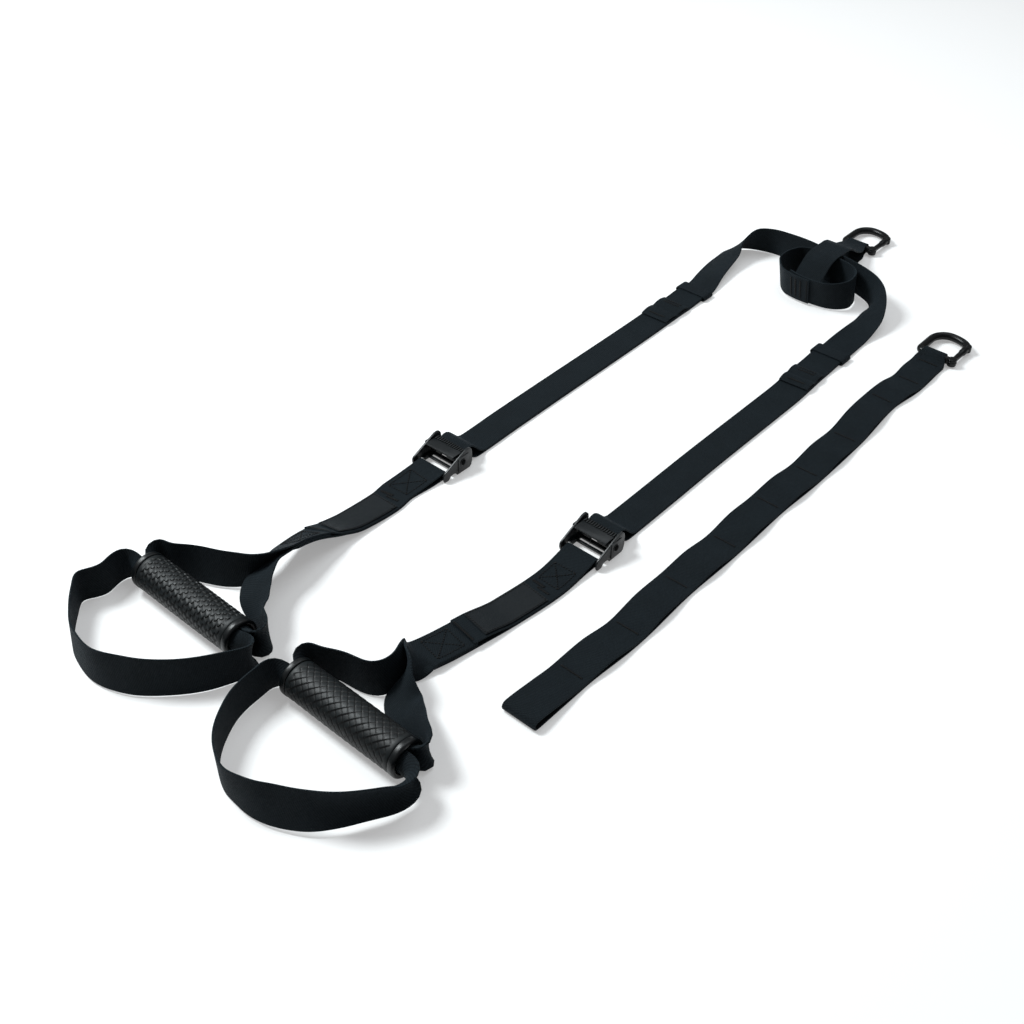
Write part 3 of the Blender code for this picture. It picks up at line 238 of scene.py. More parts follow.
@dataclass(frozen=True)
class WebbingFinish:
    """Woven nylon: ribs along the strap crossed by slanting picks, on the strap's own UV map, with painted
    light on thread crests and painted shade between threads.
    """

    name: str
    dark: Point
    light: Point
    rib: float = 0.00115
    pick: float = 0.0021
    roughness: float = 0.72
    relief: float = 0.0004
    shine: float = 0.1

    SLANT = 0.27
    RIB_CROWN = 0.6
    PICK_CROWN = 0.5
    THREAD_SHARE = 0.72
    WEAR_SCALE = 42
    ROUGH_SCALE = 260
    ROUGH_SPREAD = 0.2
    FUZZ_SCALE = 2400
    FUZZ_DEPTH = 0.4

    def make(self) -> Finish:
        """Build it.

        Returns:
            The node material.
        """
        desk = NodeDesk(self.name)
        uv = desk.add("UVMap", uv_map="cloth")
        split = desk.add("SeparateXYZ")
        desk.link(uv.outputs["UV"], split.inputs[0])
        rib = desk.math("DIVIDE", split.outputs[0], self.rib)
        column = desk.math("MULTIPLY", desk.math("FLOOR", rib), self.SLANT)
        pick = desk.math("ADD", desk.math("DIVIDE", split.outputs[1], self.pick), column)
        waves = []
        for run, crown in ((rib, self.RIB_CROWN), (pick, self.PICK_CROWN)):
            wave = desk.math("SINE", desk.math("MULTIPLY", run, math.pi))
            waves.append(desk.math("POWER", desk.math("ABSOLUTE", wave), crown))
        thread = desk.math("MULTIPLY", *waves)
        # Painted light and shade: the colour is lighter on each thread's crest and darker between threads,
        # blended with noise for random wear patches
        crest_light_and_wear = desk.blend(thread, desk.noise(self.WEAR_SCALE), self.THREAD_SHARE)
        desk.feed("Base Color", desk.ramp(crest_light_and_wear, self.dark, self.light, 0.25, 0.85))
        desk.feed("Roughness", desk.around(self.roughness, self.ROUGH_SPREAD, self.ROUGH_SCALE))
        fuzz = desk.bump(desk.noise(self.FUZZ_SCALE, 4), self.relief * self.FUZZ_DEPTH, 0.5)
        desk.feed("Normal", desk.bump(thread, self.relief, 0.9, fuzz))
        desk.set(Specular_IOR_Level=self.shine, Sheen_Weight=0.03, Sheen_Roughness=0.5,
                 Sheen_Tint=(0.6, 0.8, 1.0, 1))
        return desk.material


@dataclass(frozen=True)
class MouldedFinish:
    """Moulded or coated surface: a colour that drifts, fine grain and, on a tread, painted shade darkening
    the grooves.
    """

    name: str
    dark: Point
    light: Point
    roughness: float
    grain: float
    depth: float
    metallic: float = 0.0
    specular: float = 0.5
    # Name of the attribute that paints shade into a tread's grooves, if there is one
    tread: str = ""

    DRIFT_SCALE = 38
    DRIFT_SHARE = 0.6
    FLECK_SCALE = 420
    ROUGH_SCALE = 160
    ROUGH_SPREAD = 0.22
    GROOVE_PAINTED_SHADE = 1.6

    def make(self) -> Finish:
        """Build it.

        Returns:
            The node material.
        """
        desk = NodeDesk(self.name)
        drift = desk.blend(desk.noise(self.DRIFT_SCALE), desk.noise(self.FLECK_SCALE, 4), self.DRIFT_SHARE)
        # Painted shade: the tread attribute darkens the colour in the grooves
        if self.tread:
            groove = desk.add("Attribute", attribute_name=self.tread)
            painted_shade = desk.math("MULTIPLY", groove.outputs["Fac"], self.GROOVE_PAINTED_SHADE)
            drift = desk.math("SUBTRACT", drift, painted_shade)
        desk.feed("Base Color", desk.ramp(drift, self.dark, self.light))
        desk.feed("Roughness", desk.around(self.roughness, self.ROUGH_SPREAD, self.ROUGH_SCALE, 5))
        desk.feed("Normal", desk.bump(desk.noise(self.grain, 4), self.depth, 0.8))
        desk.set(Metallic=self.metallic, Specular_IOR_Level=self.specular)
        return desk.material


@dataclass(frozen=True)
class ThreadFinish:
    """Bonded sewing thread, slightly uneven in colour and surface."""

    name: str = "sewing thread"
    colour: Point = (0.0016, 0.002, 0.0024)

    DRIFT_SCALE = 900
    TWIST_SCALE = 5200
    TWIST_DEPTH = 0.0001

    def make(self) -> Finish:
        """Build it.

        Returns:
            The node material.
        """
        desk = NodeDesk(self.name)
        dark = tuple(value * 0.5 for value in self.colour)
        desk.feed("Base Color", desk.ramp(desk.noise(self.DRIFT_SCALE), dark, self.colour))
        desk.feed("Normal", desk.bump(desk.noise(self.TWIST_SCALE, 2), self.TWIST_DEPTH, 0.7))
        desk.set(Roughness=0.6, Specular_IOR_Level=0.2)
        return desk.material


@dataclass(frozen=True)
class FloorFinish:
    """White studio floor that keeps soft shadows and shows white to the camera."""

    name: str = "white floor"
    base: float = 0.7
    glow: float = 0.3

    def make(self) -> Finish:
        """Build it.

        Returns:
            The node material.
        """
        desk = NodeDesk(self.name)
        desk.set(Base_Color=(self.base, self.base, self.base, 1), Roughness=0.9, Specular_IOR_Level=0.05)
        path = desk.add("LightPath")
        mirrored = desk.math("MAXIMUM", path.outputs["Is Glossy Ray"], path.outputs["Is Transmission Ray"])
        seen = desk.math("MAXIMUM", path.outputs["Is Camera Ray"], mirrored)
        desk.feed("Emission Strength", desk.math("MULTIPLY", seen, self.glow))
        desk.set(Emission_Color=(1, 1, 1, 1))
        return desk.material


# Sizes shared by several sub-assemblies


@dataclass(frozen=True)
class Webbing:
    """Webbing sizes and the gap between touching layers."""

    width: float = 0.038
    thickness: float = 0.0018
    gap: float = 0.0003
    keeper_width: float = 0.018
    keeper_thickness: float = 0.0012
    patch_width: float = 0.034
    patch_thickness: float = 0.0009
    patch_length: float = 0.076
    eye_width: float = 0.028

    @property
    def half(self) -> float:
        """Half a thickness."""
        return self.thickness / 2

    @property
    def layer(self) -> float:
        """From one layer to the next."""
        return self.thickness + self.gap


WEB = Webbing()


@dataclass(frozen=True)
class Layout:
    """Where the legs, knot and anchor strap lie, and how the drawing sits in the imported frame."""

    leg_spacing: float = 0.207
    leg_run: float = 0.573
    tail: float = 0.466
    tail_stagger: float = 0.012
    link: float = 0.204
    grip_spacing: float = 0.210
    anchor_offset: float = 0.196
    anchor_start: float = 0.222
    anchor_length: float = 0.756
    frame_length: float = 0.044
    pivot_setback: float = 0.0155
    hand_drop: float = 0.098
    foot_drop: float = 0.116
    knot_shift: float = 0.036
    loop_depth: float = 0.072

    def shift(self) -> Vector:
        """From the drawing's origin, between the buckle pins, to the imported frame's origin.

        Returns:
            The vector between them.
        """
        low, high = (Vector(corner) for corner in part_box("buckle_frame_left"))
        middle = (low + high) / 2
        return Vector((middle.x + self.leg_spacing / 2,
                       middle.y - self.pivot_setback + self.frame_length / 2, low.z))

    def leg_x(self, side: Side) -> float:
        """Middle of one leg at its buckle."""
        return side.value * self.leg_spacing / 2

    @property
    def knot_x(self) -> float:
        """The knot's place across."""
        return self.leg_spacing * self.knot_shift


LAYOUT = Layout()
SHIFT = LAYOUT.shift()


# Straps


@dataclass(frozen=True)
class Section:
    """One cross-section of a strap."""

    point: Vector
    tangent: Vector
    width: Vector
    normal: Vector
    curl: float
    breadth: float

    def place(self, share: float) -> Vector:
        """A point of the middle layer.

        Args:
            share: from -0.5 at one edge to 0.5 at the other.

        Returns:
            The point.
        """
        if abs(self.curl) < TINY:
            return self.point + self.width * self.breadth * share
        turn, bend = self.curl * share, self.breadth / self.curl
        return self.point + self.width * bend * math.sin(turn) - self.normal * bend * (1 - math.cos(turn))

    def out(self, share: float) -> Vector:
        """The surface's direction outwards at a share of the breadth."""
        turn = self.curl * share
        return self.normal * math.cos(turn) + self.width * math.sin(turn)


def station(point: Sequence[float], width: Vector, curl: float = 0.0, breadth: float = WEB.width) -> Row:
    """One place that a strap passes through, as eight numbers, its curl in radians."""
    return (*point, *width.normalized(), curl, breadth)


def steady_slopes(values: Sequence[float], spans: Sequence[float], closed: bool) -> list[float]:
    """Slopes through values that never overshoot them.

    Args:
        values: one number for each station.
        spans: distances between stations.
        closed: whether the last station leads back to the first.

    Returns:
        A slope for each station.
    """
    count = len(values)
    rises = [(values[(i + 1) % count] - values[i]) / span for i, span in enumerate(spans)]
    slopes = []
    for i in range(count):
        if not closed and i in (0, count - 1):
            slopes.append(rises[0] if i == 0 else rises[-1])
            continue
        before, after = rises[i - 1], rises[i]
        if before * after <= 0:
            slopes.append(0.0)
            continue
        first, second = 2 * spans[i] + spans[i - 1], spans[i] + 2 * spans[i - 1]
        slopes.append((first + second) / (first / before + second / after))
    return slopes


def eased(rows: list[list[float]], closed: bool) -> list[list[float]]:
    """Rows averaged with their neighbours, the ends of an open strap left as they are.

    Args:
        rows: rows of eight numbers.
        closed: whether the strap is an endless loop.

    Returns:
        The averaged rows.
    """
    count = len(rows)
    made = []
    for i, row in enumerate(rows):
        if not closed and i in (0, count - 1):
            made.append(row)
            continue
        made.append([(a + 2 * b + c) / 4 for a, b, c in zip(rows[i - 1], row, rows[(i + 1) % count])])
    return made


def smooth_rows(stations: Sequence[Row], closed: bool, step: float) -> list[list[float]]:
    """Stations filled in at even steps along a smooth curve.

    Args:
        stations: the places that the strap passes through.
        closed: whether it is an endless loop.
        step: the distance between rows.

    Returns:
        Rows of eight numbers.
    """
    count = len(stations)
    points = [Vector(one[:3]) for one in stations]
    spans = [(points[(i + 1) % count] - points[i]).length for i in range(count if closed else count - 1)]
    columns = list(zip(*stations))
    slopes = [steady_slopes(column, spans, closed) for column in columns]
    rows = []
    for i, span in enumerate(spans):
        pieces = max(1, round(span / step))
        after = (i + 1) % count
        for j in range(pieces):
            t = j / pieces
            a, b = 2 * t**3 - 3 * t**2 + 1, t**3 - 2 * t**2 + t
            c, d = -2 * t**3 + 3 * t**2, t**3 - t**2
            rows.append([
                a * column[i] + b * span * slope[i] + c * column[after] + d * span * slope[after]
                for column, slope in zip(columns, slopes)
            ])
    if not closed:
        rows.append(list(stations[-1]))
    return rows


def sections_of(stations: Sequence[Row], closed: bool = False, step: float = 0.004,
                ease: int = 0) -> list[Section]:
    """Cross-sections of a strap along its stations.

    Args:
        stations: the places that the strap passes through.
        closed: whether it is an endless loop.
        step: the distance between sections.
        ease: how many times the rows are averaged with their neighbours.

    Returns:
        The sections in order.
    """
    rows = smooth_rows(stations, closed, step)
    for _ in range(ease):
        rows = eased(rows, closed)
    sections = []
    for i, row in enumerate(rows):
        ahead = rows[(i + 1) % len(rows)] if closed else rows[min(i + 1, len(rows) - 1)]
        behind = rows[i - 1] if closed or i else rows[0]
        point = Vector(row[:3])
        forward = (Vector(ahead[:3]) - point).normalized()
        backward = (point - Vector(behind[:3])).normalized()
        tangent = (forward + backward).normalized()
        width = Vector(row[3:6])
        width = (width - tangent * width.dot(tangent)).normalized()
        sections.append(Section(point, tangent, width, tangent.cross(width), row[6], row[7]))
    return sections


def arc(centre: Sequence[float], radius: float, start: float, end: float, count: int, width: Vector,
        breadth: float = WEB.width, axis: int = 1) -> list[Row]:
    """Stations round an upright arc.

    Args:
        centre: the arc's centre.
        radius: its radius.
        start: the first angle, up from the axis.
        end: the last angle.
        count: how many spans it has.
        width: the direction across the strap.
        breadth: the strap's width.
        axis: 1 for an arc in Y and Z, 0 for one in X and Z.

    Returns:
        The stations in order.
    """
    stations = []
    for i in range(count + 1):
        angle = start + (end - start) * i / count
        place = Vector(centre)
        place[axis] += radius * math.cos(angle)
        place.z += radius * math.sin(angle)
        stations.append(station(place, width, breadth=breadth))
    return stations


# Pieces


def placed(name: str, data: bpy.types.ID) -> Item:
    """Put a mesh, a lamp or a camera into the scene.

    Args:
        name: the object's name.
        data: what it shows.

    Returns:
        The new object.
    """
    item = bpy.data.objects.new(name, data)
    bpy.context.scene.collection.objects.link(item)
    return item


def meshed(name: str, shape: Shape, finish: Finish) -> bpy.types.Mesh:
    """Turn a drawn shape into a mesh.

    Args:
        name: the mesh's name.
        shape: its bmesh, which is freed.
        finish: its material.

    Returns:
        The mesh.
    """
    mesh = bpy.data.meshes.new(name)
    shape.to_mesh(mesh)
    shape.free()
    mesh.materials.append(finish)
    return mesh


def finished(name: str, shape: Shape, finish: Finish, body: str,
             smooth: float | None = SMOOTH) -> Item:
    """Turn a drawn shape into a piece that rides on a body.

    Args:
        name: the piece's name.
        shape: its bmesh, in the drawing's place.
        finish: its material.
        body: the CAD body that carries it.
        smooth: the angle above which edges stay sharp, or None to leave the shading alone.

    Returns:
        The new object.
    """
    bmesh.ops.translate(shape, verts=shape.verts, vec=SHIFT)
    mesh = meshed(name, shape, finish)
    if smooth is not None:
        mesh.shade_smooth()
        mesh.set_sharp_from_angle(angle=smooth)
    item = placed(name, mesh)
    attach(item, body)
    LOG.info("%s: %d faces on %s", name, len(mesh.polygons), body)
    return item


def repaint(node: str, finish: Finish) -> None:
    """Give a CAD node that stays in view its material.

    Args:
        node: the node's name.
        finish: its material.
    """
    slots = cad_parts[node].data.materials
    slots.clear()
    slots.append(finish)


def softened(shape: Shape, edges: Iterable[Edge], width: float, segments: int = 2) -> None:
    """Round some edges of a shape to a width, with that many faces across each."""
    bmesh.ops.bevel(shape, geom=list(edges), offset=width, offset_type="OFFSET", segments=segments,
                    profile=0.5, affect="EDGES", material=-1)


def cylinder(shape: Shape, radius: float, depth: float, place: Matrix, segments: int) -> list[Vert]:
    """Add a capped cylinder, upright before it is placed, and give its vertices."""
    return bmesh.ops.create_cone(shape, cap_ends=True, segments=segments, radius1=radius, radius2=radius,
                                 depth=depth, matrix=place)["verts"]


def turned(shape: Shape, points: Sequence[Point], steps: int, centre: Point = (0, 0, 0),
           axis: Point = (1, 0, 0), closed: bool = True) -> None:
    """Add the surface that a line of points makes in a full turn.

    Args:
        shape: the bmesh that it is added to.
        points: the line's points in order.
        steps: faces round the turn.
        centre: a point of the axis.
        axis: the axis's direction.
        closed: whether the line's end leads back to its start.
    """
    verts = [shape.verts.new(point) for point in points]
    first = 0 if closed else 1
    edges = [shape.edges.new((verts[i - 1], verts[i])) for i in range(first, len(verts))]
    bmesh.ops.spin(shape, geom=verts + edges, cent=centre, axis=axis, angle=2 * math.pi, steps=steps,
                   use_merge=True)


def grown(shape: Shape, line: Sequence[Vert], edges: list[Edge]) -> tuple[list[Vert], list[Edge]]:
    """Extrude a line in place.

    Args:
        shape: the bmesh that it is in.
        line: its vertices in order.
        edges: its edges.

    Returns:
        The new line's vertices in order, and its edges.
    """
    made = bmesh.ops.extrude_edge_only(shape, edges=edges)["geom"]
    fresh = {tuple(part.co): part for part in made if isinstance(part, Vert)}
    return [fresh[tuple(vert.co)] for vert in line], [part for part in made if isinstance(part, Edge)]


@dataclass
class Strap:
    """One length of webbing through its stations."""

    name: str
    sections: list[Section]
    closed: bool = False
    lanes: int = 8
    thickness: float = WEB.thickness

    WELD = WEB.gap / 20
    SELVEDGE = 0.3
    SELVEDGE_ANGLE = math.radians(60)

    def sheet(self) -> Shape:
        """The strap's middle layer, with its cloth map in metres.

        Returns:
            The layer as one surface.
        """
        shape = bmesh.new()
        cloth = shape.loops.layers.uv.new("cloth")
        shares = [lane / self.lanes - 0.5 for lane in range(self.lanes + 1)]
        line = [shape.verts.new(self.sections[0].place(share)) for share in shares]
        edges = [shape.edges.new(pair) for pair in zip(line, line[1:])]
        run, marks = 0.0, {vert: (share, 0.0) for vert, share in zip(line, shares)}
        behind = self.sections[0]
        for section in self.sections[1:] + (self.sections[:1] if self.closed else []):
            line, edges = grown(shape, line, edges)
            run += (section.point - behind.point).length
            for vert, share in zip(line, shares):
                vert.co = section.place(share)
                marks[vert] = (share, run)
            behind = section
        for face in shape.faces:
            for loop in face.loops:
                share, along = marks[loop.vert]
                loop[cloth].uv = (share * WEB.width, along)
        if self.closed:
            bmesh.ops.remove_doubles(shape, verts=shape.verts, dist=self.WELD)
        return shape

    def length(self) -> float:
        """The strap's length along its middle.

        Returns:
            The length in metres.
        """
        points = [one.point for one in self.sections]
        if self.closed:
            points.append(points[0])
        return sum((b - a).length for a, b in zip(points, points[1:]))

    def build(self, finish: Finish, body: str, slot: str = "webbing") -> Item:
        """The strap as a piece with its thickness and rounded selvedges.

        Args:
            finish: the webbing's material.
            body: the body that carries it.
            slot: the name of a material slot; not used.

        Returns:
            The strap's object.
        """
        item = finished(self.name, self.sheet(), finish, body, None)
        item.data.shade_smooth()
        wall = item.modifiers.new("thickness", "SOLIDIFY")
        wall.thickness = self.thickness
        wall.offset = 0
        wall.use_even_offset = True
        round_edge = item.modifiers.new("selvedge", "BEVEL")
        round_edge.width = self.thickness * self.SELVEDGE
        round_edge.segments = 2
        round_edge.limit_method = "ANGLE"
        round_edge.angle_limit = self.SELVEDGE_ANGLE
        round_edge.harden_normals = True
        return item

    def spot(self, along: float, share: float, lift: float) -> tuple[Vector, Vector, Vector]:
        """A place on the strap's surface.

        Args:
            along: the distance from the strap's start.
            share: across it, from -0.5 to 0.5.
            lift: the height above its middle layer.

        Returns:
            The place, the direction along the strap and the direction outwards.
        """
        run = 0.0
        for one, other in zip(self.sections, self.sections[1:]):
            span = (other.point - one.point).length
            if run + span >= along:
                t = (along - run) / span
                out = one.out(share).lerp(other.out(share), t).normalized()
                return one.place(share).lerp(other.place(share), t) + out * lift, one.tangent, out
            run += span
        last = self.sections[-1]
        return last.place(share) + last.out(share) * lift, last.tangent, last.out(share)


@dataclass
class Seam:
    """Sewn rows on straps, gathered into one piece of thread."""

    name: str
    pitch: float = 0.0031
    length: float = 0.0026
    thread: float = 0.0008
    zigzag: float = 0.0011
    rise: float = 0.2

    FLATNESS = 0.8

    def __post_init__(self) -> None:
        """Open the shape that collects the stitches."""
        self.shape = bmesh.new()

    @property
    def lift(self) -> float:
        """How high the thread's middle lies over a strap's middle layer."""
        return WEB.half + self.thread * self.rise

    def stitch(self, start: Vector, end: Vector, out: Vector) -> None:
        """One stitch lying between two points.

        Args:
            start: where the thread comes up.
            end: where it goes down.
            out: the direction away from the cloth.
        """
        run = end - start
        across = out.cross(run).normalized()
        up = run.normalized().cross(across)
        turn = Matrix((run.normalized(), across, up)).transposed().to_4x4()
        size = Matrix.Diagonal((run.length / 2, self.thread, self.thread * self.FLATNESS, 1))
        bmesh.ops.create_icosphere(
            self.shape, subdivisions=1, radius=1,
            matrix=Matrix.Translation((start + end) / 2) @ turn @ size,
        )

    def row(self, strap: Strap, start: tuple[float, float], end: tuple[float, float], lift: float,
            pitch: float | None = None) -> None:
        """A straight row of stitches over a strap.

        Args:
            strap: the strap that carries it.
            start: the distance along and the share across of its first stitch.
            end: those of its last stitch.
            lift: the height above the strap's middle layer.
            pitch: the distance from stitch to stitch.
        """
        pitch = pitch or self.pitch
        one, two = strap.spot(*start, lift)[0], strap.spot(*end, lift)[0]
        count = max(1, round((two - one).length / pitch))
        for i in range(count):
            shares = (i / count, (i + self.length / self.pitch) / count)
            ends = [strap.spot(start[0] + (end[0] - start[0]) * t, start[1] + (end[1] - start[1]) * t, lift)
                    for t in shares]
            self.stitch(ends[0][0], ends[1][0], ends[0][2])

    def box(self, strap: Strap, low: float, high: float, half: float, lift: float) -> None:
        """A sewn box with its cross.

        Args:
            strap: the strap that carries it.
            low: the distance along the strap where the box starts.
            high: where it ends.
            half: half the box's width as a share of the strap.
            lift: the height above the strap's middle layer.
        """
        corners = [(low, -half), (low, half), (high, half), (high, -half)]
        for one, two in zip(corners, corners[1:] + corners[:1]):
            self.row(strap, one, two, lift)
        self.row(strap, corners[0], corners[2], lift)
        self.row(strap, corners[1], corners[3], lift)

    def tack(self, strap: Strap, along: float, half: float, lift: float, depth: float = 0.0026,
             shift: float = 0.0) -> None:
        """A dense zigzag bar tack across a strap.

        Args:
            strap: the strap that carries it.
            along: the distance along the strap.
            half: half the tack's width as a share of the strap.
            lift: the height above the strap's middle layer.
            depth: how far each zigzag reaches along the strap.
            shift: the tack's middle as a share across the strap.
        """
        count = max(4, round(2 * half * WEB.width / self.zigzag))
        spots = []
        for i in range(count + 1):
            reach = depth * (0.5 if i % 2 else -0.5)
            spots.append(strap.spot(along + reach, shift - half + 2 * half * i / count, lift))
        for one, two in zip(spots, spots[1:]):
            self.stitch(one[0], two[0], one[2])

    def build(self, finish: Finish, body: str) -> Item:
        """The sewn rows as one piece."""
        return finished(self.name, self.shape, finish, body, math.pi)


# Cam buckle


@dataclass
class CamBuckle:
    """Cam buckle on one leg: a drawn frame, and the CAD's lever, pin and spring."""

    side: Side
    frame_width: float = 0.0485
    frame_height: float = 0.0255
    plate: float = 0.0026
    pivot_height: float = 0.0135
    rear_bar: float = 0.0064
    front_bar: float = 0.0046
    teeth: int = 13
    lever_edge: float = 0.00025
    fine_edge: float = 0.0003
    lip: float = 0.0012
    lip_drop: float = 0.0014

    # Outline of a side plate, in shares of the frame's length and height
    PLATE = ((0.03, 0.02), (0.09, 0), (0.17, 0), (0.205, 0.07), (0.25, 0.145), (0.33, 0.17), (0.4, 0.14),
             (0.445, 0.06), (0.47, 0), (0.9, 0), (0.965, 0.08), (1, 0.3), (1, 0.72), (0.985, 0.87),
             (0.94, 0.965), (0.87, 1), (0.78, 0.985), (0.5, 0.78), (0.16, 0.52), (0.06, 0.45),
             (0.01, 0.36), (0, 0.2))
    # Start and end of each strip across the base, in shares of the frame's length
    STRIPS = ((0.44, 0.51), (0.6, 0.7))
    BASE_HEIGHT = 1.5
    # Raised pad on a plate: middle along and up, then depth, length and height, in plates and frame heights
    PAD = (0.5, 0.46, 0.7, 0.62, 0.7)
    # Rim round the pin: how far out, in plates, and its radius
    RIM = ((0, 0.0031), (0, 0.0045), (0.55, 0.0043), (0.72, 0.0038), (0.6, 0.0033))
    # Rail along each side of the base: middle out and along, then width, length and height in shares
    RAIL = (0.43, 0.495, 0.12, 0.37, 0.9)
    # Teeth, and the near-black strip of painted shade in the gaps between them: share of the width, length
    # and height, then how far ahead of the heel and up
    TOOTH = (0.52, 0.0058, 0.0012, 0.0018, 0.0002)
    GAPS = (0.97, 0.0036, 0.0012, 0.0008, -0.0004)
    LIP_WIDTH = 0.985
    LIP_FLATNESS = 0.8
    REAR_HEIGHT = 0.55
    FRONT_INSET = 1.4
    SHARP = math.radians(42)

    @property
    def front(self) -> float:
        """The frame's front end along the strap."""
        return LAYOUT.pivot_setback - LAYOUT.frame_length

    @property
    def rear_y(self) -> float:
        """The rear bar's place along the strap."""
        return LAYOUT.pivot_setback - self.rear_bar / 2 - WEB.gap * 2

    @property
    def rear_z(self) -> float:
        """The rear bar's height."""
        return self.frame_height * self.REAR_HEIGHT

    @property
    def front_y(self) -> float:
        """The front bar's place along the strap."""
        return self.front + self.front_bar * self.FRONT_INSET

    @property
    def front_z(self) -> float:
        """The front bar's height."""
        return self.front_bar / 2 + WEB.layer

    def refined(self, node: str, finish: Finish, body: str, edge: float = 0.0) -> None:
        """A CAD solid copied, merged and, where an edge is given, softened.

        Args:
            node: the CAD node's name.
            finish: its material.
            body: the body that carries it.
            edge: the width of its softened edges.
        """
        shape = bmesh.new()
        shape.from_mesh(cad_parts[node].data)
        bmesh.ops.remove_doubles(shape, verts=shape.verts, dist=TINY)
        bmesh.ops.translate(shape, verts=shape.verts, vec=-SHIFT)
        item = finished(node + "_fine", shape, finish, body)
        if edge:
            soft = item.modifiers.new("edge", "BEVEL")
            soft.width = edge
            soft.segments = 2
            soft.limit_method = "ANGLE"
            soft.angle_limit = self.SHARP
            soft.use_clamp_overlap = True
        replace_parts(item, node)

    def block(self, shape: Shape, middle: Sequence[float], size: Sequence[float], edge: float) -> None:
        """Add a block with soft edges.

        Args:
            shape: the bmesh that it is added to.
            middle: its middle.
            size: its length along each axis.
            edge: the width of its soft edges.
        """
        place = Matrix.Translation(middle) @ Matrix.Diagonal((*size, 1))
        verts = bmesh.ops.create_cube(shape, size=1, matrix=place)["verts"]
        softened(shape, {line for vert in verts for line in vert.link_edges}, edge)

    def cheek(self, shape: Shape, way: int) -> None:
        """Add one side plate with its raised pad and the rim round the pin.

        Args:
            shape: the bmesh that it is added to.
            way: -1 for the plate on the left, 1 for the one on the right.
        """
        x, plate, height = LAYOUT.leg_x(self.side), self.plate, self.frame_height
        near, face = x + way * (self.frame_width / 2 - plate), x + way * self.frame_width / 2
        verts = [shape.verts.new((near, self.front + along * LAYOUT.frame_length, up * height))
                 for along, up in self.PLATE]
        made = bmesh.ops.extrude_face_region(shape, geom=[shape.faces.new(verts)])["geom"]
        moved = [part for part in made if isinstance(part, Vert)]
        bmesh.ops.translate(shape, verts=moved, vec=(way * plate, 0, 0))
        lines = {line for vert in verts + moved for line in vert.link_edges}
        softened(shape, {line for line in lines if line.verts[0].co.x == line.verts[1].co.x}, plate * 0.2)
        along, up, deep, long, tall = self.PAD
        self.block(shape, (face, plate * along, height * up), (plate * deep, height * long, height * tall),
                   plate * 0.12)
        rim = [(face + way * (plate * out), 0, self.pivot_height + radius) for out, radius in self.RIM]
        turned(shape, rim, 32, (0, 0, self.pivot_height))

    def shell(self, finish: Finish) -> None:
        """The frame: two side plates, the webbing's two bars and the slotted base.

        Args:
            finish: its material.
        """
        shape = bmesh.new()
        x, span, run = LAYOUT.leg_x(self.side), self.frame_width - self.plate, LAYOUT.frame_length
        base = self.plate * self.BASE_HEIGHT
        out, along, wide, long, tall = self.RAIL
        for way in (-1, 1):
            self.cheek(shape, way)
            self.block(shape, (x + way * span * out, self.front + along * run, base),
                       (span * wide, long * run, self.plate * tall), self.plate * 0.1)
        for y, z, width in ((self.rear_y, self.rear_z, self.rear_bar),
                            (self.front_y, self.front_z, self.front_bar)):
            cylinder(shape, width / 2, span, Matrix.Translation((x, y, z)) @ SIDEWAYS, 28)
        for low, high in self.STRIPS:
            self.block(shape, (x, self.front + (low + high) / 2 * run, base),
                       (span, (high - low) * run, self.plate), self.plate * 0.15)
        bmesh.ops.recalc_face_normals(shape, faces=shape.faces)
        item = finished("buckle_shell_" + self.side.label, shape, finish, "straps")
        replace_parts(item, "buckle_frame_" + self.side.label)

    def comb(self, metal: Finish, dark: Finish) -> None:
        """Teeth along the lever's heel over a near-black strip of painted shade that shows in the gaps
        between them, and the rolled lip at its front.

        Args:
            metal: the teeth's and the lip's material.
            dark: the near-black painted-shade material of the strip.
        """
        low, high = (Vector(corner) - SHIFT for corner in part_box("cam_lever_" + self.side.label))
        label, width, middle = self.side.label, high.x - low.x, (low.x + high.x) / 2
        pitch = width / self.teeth
        share, long, tall, ahead, up = self.TOOTH
        shape = bmesh.new()
        for i in range(self.teeth):
            self.block(shape, (low.x + pitch * (i + 0.5), high.y - ahead, high.z + up),
                       (pitch * share, long, tall), self.fine_edge)
        lip = Matrix.Translation((middle, low.y + self.lip, high.z - self.lip_drop))
        verts = cylinder(shape, self.lip, width * self.LIP_WIDTH, lip @ SIDEWAYS, 20)
        bmesh.ops.scale(shape, vec=(1, 1, self.LIP_FLATNESS), verts=verts, space=lip.inverted())
        bmesh.ops.recalc_face_normals(shape, faces=shape.faces)
        finished("lever_teeth_" + label, shape, metal, label + "_lever")
        # A near-black strip under the teeth: painted shade in the gaps between them
        share, long, tall, ahead, up = self.GAPS
        shape = bmesh.new()
        self.block(shape, (middle, high.y - ahead, high.z + up), (width * share, long, tall), self.fine_edge)
        finished("tooth_shadow_strip_" + label, shape, dark, label + "_lever")

    def build(self, metal: Finish, steel: Finish, dark: Finish) -> None:
        """Make every piece of the buckle.

        Args:
            metal: the frame's and the lever's material.
            steel: the spring's material.
            dark: the near-black painted-shade material of the pin, whose head reads as a shaded hole, and of
                the strip between the teeth.
        """
        label = self.side.label
        self.shell(metal)
        self.refined("cam_lever_" + label, metal, label + "_lever", self.lever_edge)
        # The pin is near-black painted shade, so that its head reads as a shaded hole in the rim
        self.refined("cam_pin_" + label, dark, "straps")
        self.refined("cam_spring_" + label, steel, "straps")
        self.comb(metal, dark)


BUCKLE = CamBuckle(Side.LEFT)


# Main strap


